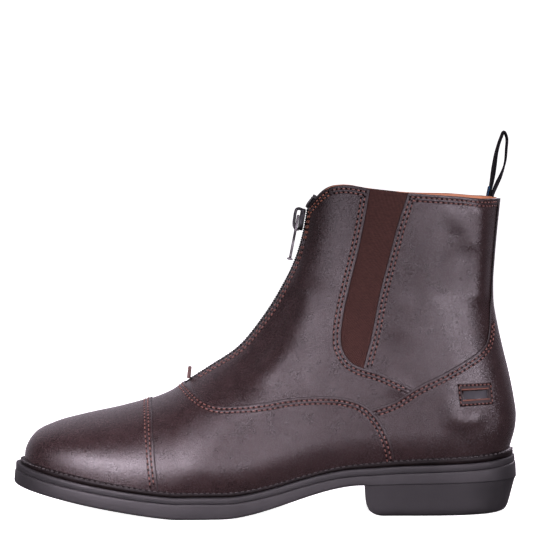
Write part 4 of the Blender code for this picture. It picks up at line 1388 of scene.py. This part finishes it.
def needle_holes(points, normals, radius, corners=8):
    """Small discs of painted shade for the needle holes, each a flat closed lens in the leather."""
    first = unit(np.cross(normals, np.array([0.31, 0.17, 0.94])))
    second = np.cross(normals, first)
    turn = 2 * math.pi * np.arange(corners) / corners
    rim = first[:, None, :] * np.cos(turn)[None, :, None] + second[:, None, :] * np.sin(turn)[None, :, None]
    rim = points[:, None, :] + radius * rim + 0.03 * normals[:, None, :]
    ends = np.stack([points + 0.06 * normals, points - 0.2 * normals], axis=1)
    loop = np.arange(corners)
    faces = np.vstack([fan(corners, loop), fan(corners + 1, loop[::-1])])
    return repeated(np.concatenate([rim, ends], axis=1), faces)


def row_places(seam, offset, lift, row):
    """Needle places of a row along a seam, moved in from it by one or many offsets: points and normals."""
    turn, level = seam.beside(np.broadcast_to(offset, len(seam.turn))[:, None])
    length = arc_length(skin(turn, level))
    at = np.arange((0.5 + ROW_STAGGER * row) * STITCH_PITCH, length[-1], STITCH_PITCH)
    turn, level = np.interp(at, length, turn), np.interp(at, length, level)
    return surface(turn, level, lift), skin_normal(turn, level)


def clear_of(points, side, *names):
    """True where no panel of these names covers the points."""
    clear = np.ones(len(points), bool)
    for name in names:
        clear &= SEAMS[name, side].distance(points) < -COVER_MARGIN
    return clear


def softened(values, reach):
    """Running mean, with the end values held."""
    width = 2 * reach + 1
    return np.convolve(np.pad(values, reach, mode="edge"), np.ones(width) / width, mode="valid")


def rim_seam(side):
    """Free edge of a front quarter: up beside the zip, then along the collar to the gusset."""
    levels = np.linspace(0.0, 1.0, 400)
    levels = levels[FRONT_LINE(levels)[:, 0] > ZIP_ROW_START_X]
    fine = np.linspace(0.0, 0.12, 240)
    turns = []
    for level in levels:
        points = skin(fine, level)
        turns.append(np.interp(ZIP_HALF_SLOT, points[:, 1] - ridge_y(points[:, 0]), fine))
    collar = np.linspace(turns[-1], abs(SEAMS["quarter", side].turn[0]), 200)[1:]
    turn = np.concatenate([turns, collar])
    level = np.concatenate([levels, np.ones(len(collar))])
    length = arc_length(skin(turn, level))
    even = np.linspace(0.0, length[-1], 500)
    turn, level = (softened(np.interp(even, length, a), 7) for a in (turn, level))
    return Seam(side * turn, level, side)


def back_collar_seam(side):
    """Free edge of a back quarter along the collar, from the gusset to the back stay."""
    first, last = (abs(SEAMS[name, side].turn[-1]) for name in ("back", "counter"))
    turn = side * np.linspace(first, last, 300)
    return Seam(turn, np.ones(len(turn)), side)


ZIP_ROW_START_X = -41.0
ZIP_ROW_SHIFT = (1.0, 2.2)
ZIP_ROW_TURN_X = (30.0, 22.0)
BRIGHT_ROW_START_Z = 150.0
BRIGHT_ROW_END_X = 36.0
BRIGHT_THREAD_RADIUS = 0.36
WELT_CLEARANCE = 2.0

# Rows beside panel edges: edge, height of the leather, panels that cover the row, and its upper end
PANEL_ROWS = (
    ("cap", lambda offset: faded(TOE_CAP_LIFT, offset), (), 300.0),
    ("vamp", lambda offset: faded(VAMP_LIFT, offset), (), 300.0),
    ("counter", lambda offset: COUNTER_LIFT, ("vamp",), 107.0),
    ("quarter", lambda offset: FRONT_QUARTER_LIFT, ("vamp", "counter"), 177.0),
    ("back", lambda offset: BACK_QUARTER_LIFT, ("quarter", "counter"), 175.0),
)


def add_stitches():
    """All rows of the upper, in two thread colours."""
    plain, bright = Stitches(), Stitches()
    for side in BOTH_SIDES:
        for name, lift, covers, top in PANEL_ROWS:
            for k, offset in enumerate(STITCH_ROWS):
                points, normals = row_places(SEAMS[name, side], offset, lift(offset), k)
                low = welt_top(points[:, 0]) + WELT_CLEARANCE
                shown = (points[:, 2] > low) & (points[:, 2] < top)
                plain.add(points, normals, shown & clear_of(points, side, *covers))
        collar, rim = back_collar_seam(side), rim_seam(side)
        for k, offset in enumerate(STITCH_ROWS):
            points, normals = row_places(collar, offset, BACK_QUARTER_LIFT, k)
            plain.add(points, normals, clear_of(points, side, "counter"))
            beside_zip = offset + ZIP_ROW_SHIFT[k] * smoothstep(*ZIP_ROW_TURN_X, rim.points[:, 0])
            points, normals = row_places(rim, beside_zip, FRONT_QUARTER_LIFT, k)
            shown = clear_of(points, side, "vamp")
            front = (points[:, 0] < BRIGHT_ROW_END_X) & (points[:, 2] > BRIGHT_ROW_START_Z)
            plain.add(points, normals, shown & ~front)
            bright.add(points, normals, shown & front, radius=BRIGHT_THREAD_RADIUS)
    plain.add_threads("stitch_threads", THREAD_FINISH)
    bright.add_threads("zip_stitch_threads", BRIGHT_THREAD_FINISH)
    plain.holes += bright.holes
    plain.add_holes("needle_holes")


# Zip. Foot and top of a tooth: half length, half width and height
SIDEWAYS = np.array([0.0, 1.0, 0.0])
TOOTH_PITCH = 1.3
TOOTH_FOOT = (0.52, 1.3, -0.7)
TOOTH_TOP = (0.36, 1.0, 0.75)
TOOTH_OFFSET = 0.75
TAPE_REACH = (3.6, 5.0)
TAPE_LIFT = (-0.62, -1.15)
CORD_LIFT = 1.05
CORD_EDGE = (1.6, 2.8)
ZIP_FOOT_X = -41.5
ZIP_END_GAP = 0.6

# Open ends of the chain along the collar: pitch, turns round the leg, way the teeth point and their reach
END_TOOTH_PITCH = 2.3
END_TOOTH_START = 0.8
END_TURNS = (0.014, 0.07)
END_TOOTH_WAY = np.array([-0.93, 0.0, 0.37])
END_TOOTH_REACH = 0.9
BLOCK_FACES = np.array([(0, 3, 2, 1), (4, 5, 6, 7), (0, 1, 5, 4), (1, 2, 6, 5), (2, 3, 7, 6), (3, 0, 4, 7)])


def teeth(points, out, along, across_way):
    """Moulded zip teeth, each a block that narrows outwards."""
    corners = []
    for half_length, half_width, lift in (TOOTH_FOOT, TOOTH_TOP):
        for i, j in ((-1, -1), (1, -1), (1, 1), (-1, 1)):
            corners.append(points + i * half_length * along + j * half_width * across_way + lift * out)
    return repeated(np.stack(corners, axis=1), BLOCK_FACES)


def add_zip(whole):
    """Woven tapes in the slot, with interlocked teeth and their open ends at the collar."""
    tape = cut_all(whole, short_of("zip", TAPE_REACH[0]), short_of("vamp", TAPE_REACH[1]))
    cord = CORD_LIFT * smoothstep(*CORD_EDGE, -tape[0][:, COLUMN["zip"]])
    solid = thicken(tape, cord + TAPE_LIFT[0], TAPE_LIFT[1])
    add_piece("zip_tape", *solid, TAPE_FINISH, "zip_chain", replaces=("zip",))
    levels = np.linspace(0.0, 1.0, 3000)
    line = skin(0.0, levels)
    length = arc_length(line)
    at = np.arange(np.interp(ZIP_FOOT_X, line[:, 0], length), length[-1] - ZIP_END_GAP, TOOTH_PITCH)
    points = skin(0.0, np.interp(at, length, levels))
    along = unit(along_line(np.gradient(line, axis=0), length, at))
    out = unit(np.cross(SIDEWAYS, along))
    out = np.where(out[:, :1] > 0, -out, out)
    hand = np.where(np.arange(len(at)) % 2 == 0, 1.0, -1.0)[:, None]
    rows = [teeth(points + hand * TOOTH_OFFSET * SIDEWAYS, out, along, SIDEWAYS)]
    for side in BOTH_SIDES:
        edge = skin(side * np.linspace(*END_TURNS, 300), 1.0)
        length = arc_length(edge)
        at = np.arange(END_TOOTH_START, length[-1], END_TOOTH_PITCH)
        along = unit(along_line(np.gradient(edge, axis=0), length, at))
        out = unit(END_TOOTH_WAY - (END_TOOTH_WAY * along).sum(axis=1)[:, None] * along)
        points = along_line(edge, length, at) + END_TOOTH_REACH * out
        rows.append(teeth(points, out, along, np.cross(along, out)))
    add_piece("zip_teeth", *joined(rows), TOOTH_FINISH, "zip_chain", sharp=30.0)


# Slider plate: rows of scale and height over its face. Bail: line from the hinge, out and up
HINGE = np.array(frame["record"]["behaviour"]["joints"][0]["pos_m"]) / MM
SLIDER_HALF_LENGTH = 6.2
SLIDER_HALF_WIDTHS = (2.9, 4.2)
SLIDER_CORNERS = 48
SLIDER_SETBACK = 1.2
SLIDER_DROP = 1.5
SLIDER_SQUARENESS = 0.6
SLIDER_LEVELS = (0.95, 0.985)
SLIDER_LAYERS = ((0.90, -2.5), (1.0, -2.1), (1.0, -0.15), (0.95, 0.15), (0.84, 0.35), (0.5, 0.4))
BAIL_LINE = (
    (-1.6, 3.9), (0.3, 4.2), (1.5, 3.6), (1.85, 2.0), (1.85, -1.5), (1.7, -4.4), (1.2, -6.2), (0.2, -7.2),
    (-1.6, -7.3),
)
BAIL_HALF_WIDTH = 1.5
BAIL_HALF_THICKNESS = 0.85
METAL_SHARP = 35.0

# Pull tab: half outlines of bar and eye as (along, across) from the hinge, the rounding of their edges,
# and the lip's half depth, half height and half width
PULL_HANG_DEG = 11.0
PULL_EDGE = (
    (-0.6, 0.0), (-0.6, 2.4), (-0.3, 3.0), (0.5, 3.3), (4.0, 3.4), (9.0, 3.3), (11.0, 2.9), (13.0, 2.4),
    (18.0, 2.3), (24.0, 2.4), (24.4, 2.2), (24.4, 0.0),
)
PULL_EYE = ((0.6, 0.0), (0.6, 1.3), (0.9, 1.75), (1.5, 1.9), (7.4, 1.9), (8.1, 1.7), (8.5, 1.2), (8.6, 0.0))
PULL_CORNERS = 96
PULL_HALF_THICKNESS = 0.7
PULL_ROUND = 0.3
EYE_ROUND = 0.2
PULL_LIP = (1.75, 0.65, 2.5)


def add_slider():
    """Zip slider: a shield-shaped plate on the chain, with an arched bail for the pull."""
    low, high = SLIDER_LEVELS
    tangent = unit(FRONT_LINE(high) - FRONT_LINE(low))
    up, out = np.array([tangent[0], 0.0, tangent[1]]), np.array([-tangent[1], 0.0, tangent[0]])
    face = HINGE - SLIDER_SETBACK * out - SLIDER_DROP * up
    turn = 2 * math.pi * np.arange(SLIDER_CORNERS) / SLIDER_CORNERS
    width, height = (np.sign(a) * np.abs(a) ** SLIDER_SQUARENESS for a in (np.cos(turn), np.sin(turn)))
    narrow, wide = SLIDER_HALF_WIDTHS
    width = width * (narrow + (wide - narrow) * (1 + height) / 2)
    flat = width[:, None] * SIDEWAYS + SLIDER_HALF_LENGTH * height[:, None] * up
    points, loops = numbered([face + scale * flat + lift * out for scale, lift in SLIDER_LAYERS])
    ends = [face + lift * out for lift in (SLIDER_LAYERS[0][1], SLIDER_LAYERS[-1][1])]
    plate = np.vstack([points] + ends), capped(loops)
    arch = smooth_curve(BAIL_LINE)(np.linspace(0.0, 1.0, 40))
    line = HINGE + arch[:, :1] * out + arch[:, 1:] * up
    bail = flat_band(line[:, [0, 2]], BAIL_HALF_WIDTH, BAIL_HALF_THICKNESS, np.zeros(len(line)))
    bail[0][:, 1] += HINGE[1]
    solids = [(solid[0], outward(*solid)) for solid in (plate, bail)]
    add_piece("zip_slider_body", *joined(solids), SLIDER_FINISH, "zip_metal", replaces=("zip_slider",),
              sharp=METAL_SHARP)


def mirrored_loop(edge, inset):
    """Closed loop of (along, across) places from one half of an outline, moved in by inset."""
    half = smooth_curve(edge)(np.linspace(0.0, 1.0, PULL_CORNERS // 2 + 1))
    loop = np.vstack([half, half[-2:0:-1] * np.array([1.0, -1.0])])
    along = np.roll(loop, -1, axis=0) - np.roll(loop, 1, axis=0)
    return loop + inset * unit(np.column_stack([along[:, 1], -along[:, 0]]))


def add_pull():
    """Pull tab on the bail: a flat bar with a long eye and a lip across its foot."""
    turn = math.radians(PULL_HANG_DEG)
    along = np.array([-math.sin(turn), 0.0, -math.cos(turn)])
    face = np.array([-math.cos(turn), 0.0, math.sin(turn)])
    half = PULL_HALF_THICKNESS
    layers = (
        (PULL_EDGE, PULL_ROUND, half),
        (PULL_EDGE, 0.0, half - PULL_ROUND),
        (PULL_EDGE, 0.0, PULL_ROUND - half),
        (PULL_EDGE, PULL_ROUND, -half),
        (PULL_EYE, -EYE_ROUND, -half),
        (PULL_EYE, 0.0, EYE_ROUND - half),
        (PULL_EYE, 0.0, half - EYE_ROUND),
        (PULL_EYE, -EYE_ROUND, half),
    )
    rings = []
    for edge, inset, lift in layers:
        loop = mirrored_loop(edge, inset)
        rings.append(HINGE + loop[:, :1] * along + loop[:, 1:] * SIDEWAYS + lift * face)
    points, loops = numbered(rings)
    bar = points, sleeve(loops, closed=True)
    deep, tall, wide = PULL_LIP
    ways = np.array([-1.0, -0.9, 0.9, 1.0])
    centre = HINGE + PULL_EDGE[-1][0] * along + wide * ways[:, None] * SIDEWAYS
    sides, ups = (np.broadcast_to(a, (1, len(ways), 3)) for a in (deep * face, tall * along))
    lip = tubes(centre[None], sides, ups, np.array([0.8, 1.0, 1.0, 0.8]), corners=12)
    solids = [(solid[0], outward(*solid)) for solid in (bar, lip)]
    add_piece("zip_pull_tab", *joined(solids), PULL_FINISH, "zip_metal", body="pull_tab",
              replaces=("zip_pull",), sharp=METAL_SHARP)


# Pull loop: side-view line from its foot inside the collar, and its twist in degrees along the line
LOOP_ROWS = (
    (123.6, 158.0), (124.2, 168.0), (125.3, 176.0), (126.9, 184.0), (128.1, 192.0), (129.7, 201.4),
    (131.9, 208.3), (133.6, 211.8), (134.9, 209.2), (134.9, 201.9), (134.2, 194.5), (132.0, 187.5),
    (129.7, 182.5), (127.5, 177.0), (126.3, 168.0), (125.9, 158.0),
)
LOOP_TWIST = (
    (0.0, 0.0), (0.20, 2.0), (0.28, 7.0), (0.42, 1.0), (0.55, 1.5), (0.66, 4.0), (0.77, 13.0), (0.90, 4.0),
    (1.0, 0.0),
)
LOOP_HALF_WIDTH = 5.0
LOOP_HALF_THICKNESS = 0.6
LOOP_POINTS = 110
BLUE_TAPE_HEIGHTS = (170.0, 181.5)
BLUE_TAPE_SHIFT = (-1.0, 0.0)
BLUE_TAPE_HALF_WIDTH = 4.5
BLUE_TAPE_HALF_THICKNESS = 0.35

# Section of a flat band, as shares of its half width and half thickness
BAND_SECTION = (
    (-1.0, 0.0), (-0.93, 0.75), (-0.85, 1.0), (-0.3, 1.0), (0.3, 1.0), (0.85, 1.0), (0.93, 0.75),
    (1.0, 0.0), (0.93, -0.75), (0.85, -1.0), (0.3, -1.0), (-0.3, -1.0), (-0.85, -1.0), (-0.93, -0.75),
)


def flat_band(line, half_width, half_thickness, twist):
    """Flat band with round edges along a side-view line, turned a little about it."""
    centre = np.column_stack([line[:, 0], np.zeros(len(line)), line[:, 1]])
    normal = np.cross(unit(np.gradient(centre, axis=0)), SIDEWAYS)
    cosine, sine = np.cos(twist)[:, None], np.sin(twist)[:, None]
    wide, thick = cosine * SIDEWAYS + sine * normal, cosine * normal - sine * SIDEWAYS
    lines = [centre + half_width * w * wide + half_thickness * t * thick for w, t in BAND_SECTION]
    points, loops = numbered(np.stack(lines, axis=1))
    return np.vstack([points, centre[:1], centre[-1:]]), capped(loops)


def add_pull_loop():
    """Webbing loop inside the back of the collar, with a plain blue tape at its foot."""
    way = np.linspace(0.0, 1.0, LOOP_POINTS)
    line = smooth_curve(LOOP_ROWS)(way)
    twist = np.radians(smooth_graph(LOOP_TWIST)(way))
    band = flat_band(line, LOOP_HALF_WIDTH, LOOP_HALF_THICKNESS, twist)
    add_piece("pull_loop_webbing", *band, WEBBING_FINISH, "loop_webbing", replaces=("pull_loop",))
    low, high = BLUE_TAPE_HEIGHTS
    foot = (line[:, 1] > low) & (line[:, 1] < high) & (way < 0.4)
    front = line[foot] + np.array(BLUE_TAPE_SHIFT)
    tape = flat_band(front, BLUE_TAPE_HALF_WIDTH, BLUE_TAPE_HALF_THICKNESS, np.zeros(len(front)))
    add_piece("loop_blue_tape", *tape, BLUE_FINISH, "loop_webbing")


# Badge: side-view corners, size, the window's left, right, upper and lower edge as shares of the size, the
# grids of frame and insert, and layers in the window with their gaps to its edges and their rise
BADGE_CORNERS = ((105.5, 72.9), (124.4, 73.0), (125.8, 61.0), (106.9, 60.3))
BADGE_SIZE = (19.0, 12.2)
BADGE_WINDOW = (0.11, 0.88, 0.27, 0.72)
BADGE_GRID = (65, 41)
INSERT_GRID = (25, 13)
BADGE_LIFT = 0.55
BADGE_SINK = 0.75
BADGE_LAYERS = (
    # Near-black sheet of painted shadow under the insert, showing round it as the frame's shadow
    ("badge_painted_shadow", HOLE_SHADE_FINISH, (0.01, 0.01, 0.02, 0.02), 0.0),
    ("badge_insert", INSERT_FINISH, (0.05, 0.045, 0.07, 0.04), 0.12),
)
PIPING_POINTS = 30
PIPING_RADIUS = 0.42
BADGE_HOLE_RADIUS = 0.62

# Stitched line round the badge: corners as shares of its size, and the needle holes on each side
BADGE_STITCH_CORNERS = ((0.035, 0.075), (0.965, 0.075), (0.965, 0.925), (0.035, 0.925), (0.035, 0.075))
BADGE_STITCH_HOLES = (9, 5, 9, 5)


def badge_places(u, v):
    """Turn and level of places on the badge, from shares along its two sides."""
    a, b, c, d = (np.array(corner) for corner in BADGE_CORNERS)
    top = a + u[:, None] * (b - a)
    low = d + u[:, None] * (c - d)
    share, level = locate(top + v[:, None] * (low - top))
    return turn_of(share, OUTER), level


def badge_patch(us, vs, height, inner):
    """Closed patch over a grid of places on the badge, up to a height given for their shares."""
    u, v = (a.ravel() for a in np.meshgrid(us, vs))
    turn, level = badge_places(u, v)
    count = len(u)
    points = np.vstack([surface(turn, level, lift) for lift in (height(u, v), inner)])
    numbers = np.arange(count).reshape(len(vs), len(us))
    rim = np.concatenate([numbers[0], numbers[1:, -1], numbers[-1, -2::-1], numbers[-2:0:-1, 0]])
    faces = np.vstack([strip(a, b) for a, b in zip(numbers, numbers[1:])])
    return points, np.vstack([faces, faces[:, ::-1] + count, bridge(rim + count, rim)])


def frame_height(u, v):
    """Height of the badge's frame: round at its rim and sunk in its window."""
    left, right, top, low = BADGE_WINDOW
    width, height = BADGE_SIZE
    rim = np.minimum(np.minimum(u, 1 - u) * width, np.minimum(v, 1 - v) * height)
    window = np.minimum(np.minimum(u - left, right - u) * width, np.minimum(v - top, low - v) * height)
    raised = COUNTER_LIFT + BADGE_LIFT * smoothstep(-0.1, 0.7, rim)
    return raised - BADGE_SINK * smoothstep(-0.25, 0.25, window)


def add_badge():
    """Stitched leather frame on the outer side of the counter, with a plain insert in its window over a sheet
    of painted shadow.
    """
    us, vs = (np.linspace(0.0, 1.0, count) for count in BADGE_GRID)
    solid = badge_patch(us, vs, frame_height, COUNTER_LIFT - 0.4)
    add_piece("badge_frame", *solid, BADGE_FINISH, "upper_leather")
    left, right, top, low = BADGE_WINDOW
    for name, finish, (left_gap, right_gap, top_gap, low_gap), rise in BADGE_LAYERS:
        us = np.linspace(left + left_gap, right - right_gap, INSERT_GRID[0])
        vs = np.linspace(top + top_gap, low - low_gap, INSERT_GRID[1])
        solid = badge_patch(us, vs, lambda u, v, rise=rise: COUNTER_LIFT + rise, COUNTER_LIFT - 0.3)
        add_piece(name, *solid, finish, "zip_chain")
    piping = []
    for edge in (top - 0.015, low + 0.015):
        us = np.linspace(left - 0.01, right + 0.01, PIPING_POINTS)
        turn, level = badge_places(us, np.full(PIPING_POINTS, edge))
        centre = surface(turn, level, COUNTER_LIFT + BADGE_LIFT - 0.05)
        normal = skin_normal(turn, level)
        side = unit(np.cross(unit(np.gradient(centre, axis=0)), normal))
        piping.append(tubes(centre[None], side[None], normal[None], np.full(PIPING_POINTS, PIPING_RADIUS)))
    add_piece("badge_piping", *joined(piping), PIPING_FINISH, "upper_leather")
    stitches = Stitches()
    for start, end, count in zip(BADGE_STITCH_CORNERS, BADGE_STITCH_CORNERS[1:], BADGE_STITCH_HOLES):
        turn, level = badge_places(*np.linspace(start, end, count).T)
        points = surface(turn, level, COUNTER_LIFT + BADGE_LIFT)
        stitches.add(points, skin_normal(turn, level), np.ones(count, bool), hole=BADGE_HOLE_RADIUS)
    stitches.add_threads("badge_threads", THREAD_FINISH)
    stitches.add_holes("badge_holes")


def dress_end_tab():
    """Better material for the solid whose shape is already right."""
    for slot in frame["nodes"]["zip_end_tab"].material_slots:
        slot.material = TAB_FINISH


# Studio, in metres. Floor rows: radius and height
FLOOR_CORNERS = 96
FLOOR_ROWS = ((3.0, -0.0001), (3.4, 0.05), (3.7, 0.2), (3.9, 0.5), (4.0, 1.0), (4.0, 6.0))


def add_floor():
    """Round pale floor that curves up to a wall all round. Only the camera sees it, so it throws no light."""
    turn = 2 * math.pi * np.arange(FLOOR_CORNERS) / FLOOR_CORNERS
    flat = np.column_stack([np.cos(turn), np.sin(turn), np.zeros(FLOOR_CORNERS)])
    points, loops = numbered([radius * flat + (0.0, 0.0, z) for radius, z in FLOOR_ROWS])
    faces = [fan(len(points), loops[0]), sleeve(loops)]
    points = np.vstack([points, (0.0, 0.0, FLOOR_ROWS[0][1])])
    mesh = bpy.data.meshes.new("floor")
    mesh.from_pydata(points.tolist(), [], [tuple(dict.fromkeys(face)) for face in np.vstack(faces).tolist()])
    mesh.shade_smooth()
    f = Finish("floor_paper", (0.9, 0.9, 0.9), 0.9)
    f.set("Base Color", f.blend(f.noise(3.0), (0.89, 0.89, 0.89), (0.91, 0.91, 0.91)))
    f.set("Emission Color", (1.0, 1.0, 1.0, 1.0))
    f.set("Emission Strength", 1.0)
    mesh.materials.append(f.material)
    floor = bpy.data.objects.new("floor", mesh)
    floor.visible_diffuse = False
    floor.visible_glossy = False
    floor.visible_shadow = False
    bpy.context.scene.collection.objects.link(floor)


def aim(obj, place, target):
    """Put an object somewhere, looking at a target."""
    away = np.array(place) - np.array(target)
    flat = math.hypot(away[0], away[1])
    obj.location = place
    obj.rotation_euler = (math.atan2(flat, away[2]), 0.0, math.atan2(away[0], -away[1]))


# Softboxes: target, degrees from the camera's side to the right, height in degrees, distance, size, spread
# in degrees and power
LIGHT_TARGET = (0.0, 0.0, 0.08)
TOE_TARGET = (-0.08, -0.04, 0.03)
LIGHT_COLOUR = (0.97, 0.85, 0.98)
LIGHTS = (
    ("softbox_toe", TOE_TARGET, -28.0, 20.0, 0.22, (0.24, 0.08), 80.0, 0.23),
    ("softbox_left", LIGHT_TARGET, -58.0, 9.0, 1.7, (0.7, 0.5), 180.0, 5.4),
    ("softbox_near", LIGHT_TARGET, -14.0, 33.0, 1.7, (0.4, 0.35), 180.0, 5.0),
    ("softbox_high", LIGHT_TARGET, 35.0, 50.0, 1.7, (0.7, 0.7), 180.0, 21.0),
    ("softbox_front", LIGHT_TARGET, 5.0, 3.0, 1.7, (1.0, 0.3), 180.0, 6.6),
    ("softbox_right", LIGHT_TARGET, 36.0, 5.0, 1.7, (0.35, 0.5), 180.0, 8.4),
    ("softbox_side", LIGHT_TARGET, 56.0, 6.0, 1.7, (0.25, 0.45), 180.0, 8.0),
    ("softbox_back", LIGHT_TARGET, 150.0, 32.0, 1.7, (0.8, 0.8), 180.0, 16.0),
)

# The bright backdrop behind the boot: its direction, then where it starts and is full, as cosines of the
# angle to it, and the strengths outside and inside it
GLOW_WAY = (0.0, 0.9, 0.43)
GLOW_FALL = (0.55, 0.92, 0.06, 0.65)


def add_lights():
    """Softboxes round the boot."""
    for name, target, side_deg, height_deg, distance, size, spread_deg, power in LIGHTS:
        light = bpy.data.lights.new(name, "AREA")
        light.shape = "RECTANGLE"
        light.size, light.size_y = size
        light.spread = math.radians(spread_deg)
        light.energy = power
        light.color = LIGHT_COLOUR
        lamp = bpy.data.objects.new(name, light)
        bpy.context.scene.collection.objects.link(lamp)
        turn, height = math.radians(side_deg), math.radians(height_deg)
        flat = math.cos(height)
        way = np.array([flat * math.sin(turn), -flat * math.cos(turn), math.sin(height)])
        aim(lamp, np.array(target) + distance * way, target)


def add_world():
    """Dim surroundings with one bright backdrop."""
    world = bpy.data.worlds.new("studio")
    world.use_nodes = True
    nodes, links = world.node_tree.nodes, world.node_tree.links
    direction = nodes.new("ShaderNodeTexCoord")
    facing = nodes.new("ShaderNodeVectorMath")
    facing.operation = "DOT_PRODUCT"
    facing.inputs[1].default_value = GLOW_WAY
    links.new(direction.outputs["Generated"], facing.inputs[0])
    fall = nodes.new("ShaderNodeMapRange")
    for name, value in zip(("From Min", "From Max", "To Min", "To Max"), GLOW_FALL):
        fall.inputs[name].default_value = value
    links.new(facing.outputs["Value"], fall.inputs["Value"])
    links.new(fall.outputs["Result"], nodes["Background"].inputs["Strength"])
    nodes["Background"].inputs["Color"].default_value = (*LIGHT_COLOUR, 1.0)
    bpy.context.scene.world = world


def add_camera():
    """The photo's view, without depth of field."""
    camera = bpy.data.objects.new("camera", bpy.data.cameras.new("camera"))
    camera.data.lens = CAMERA_LENS
    camera.data.sensor_width = CAMERA_SENSOR
    camera.location = CAMERA_PLACE
    camera.rotation_euler = (math.pi / 2 - CAMERA_TILT, 0.0, 0.0)
    bpy.context.scene.collection.objects.link(camera)
    bpy.context.scene.camera = camera
    bpy.context.scene.view_settings.view_transform = "Standard"


add_floor()
add_lights()
add_world()
add_camera()
add_outsole()
add_welt()
add_heel()
add_welt_rim()
add_insole()
WHOLE = whole_sheet(UPPER_COLUMNS, UPPER_RINGS)
add_panels(WHOLE)
add_zip(WHOLE)
add_lining(whole_sheet(UPPER_COLUMNS // 2, UPPER_RINGS // 2))
add_stitches()
add_pull_loop()
add_badge()
add_slider()
add_pull()
dress_end_tab()

bpy.context.view_layer.update()
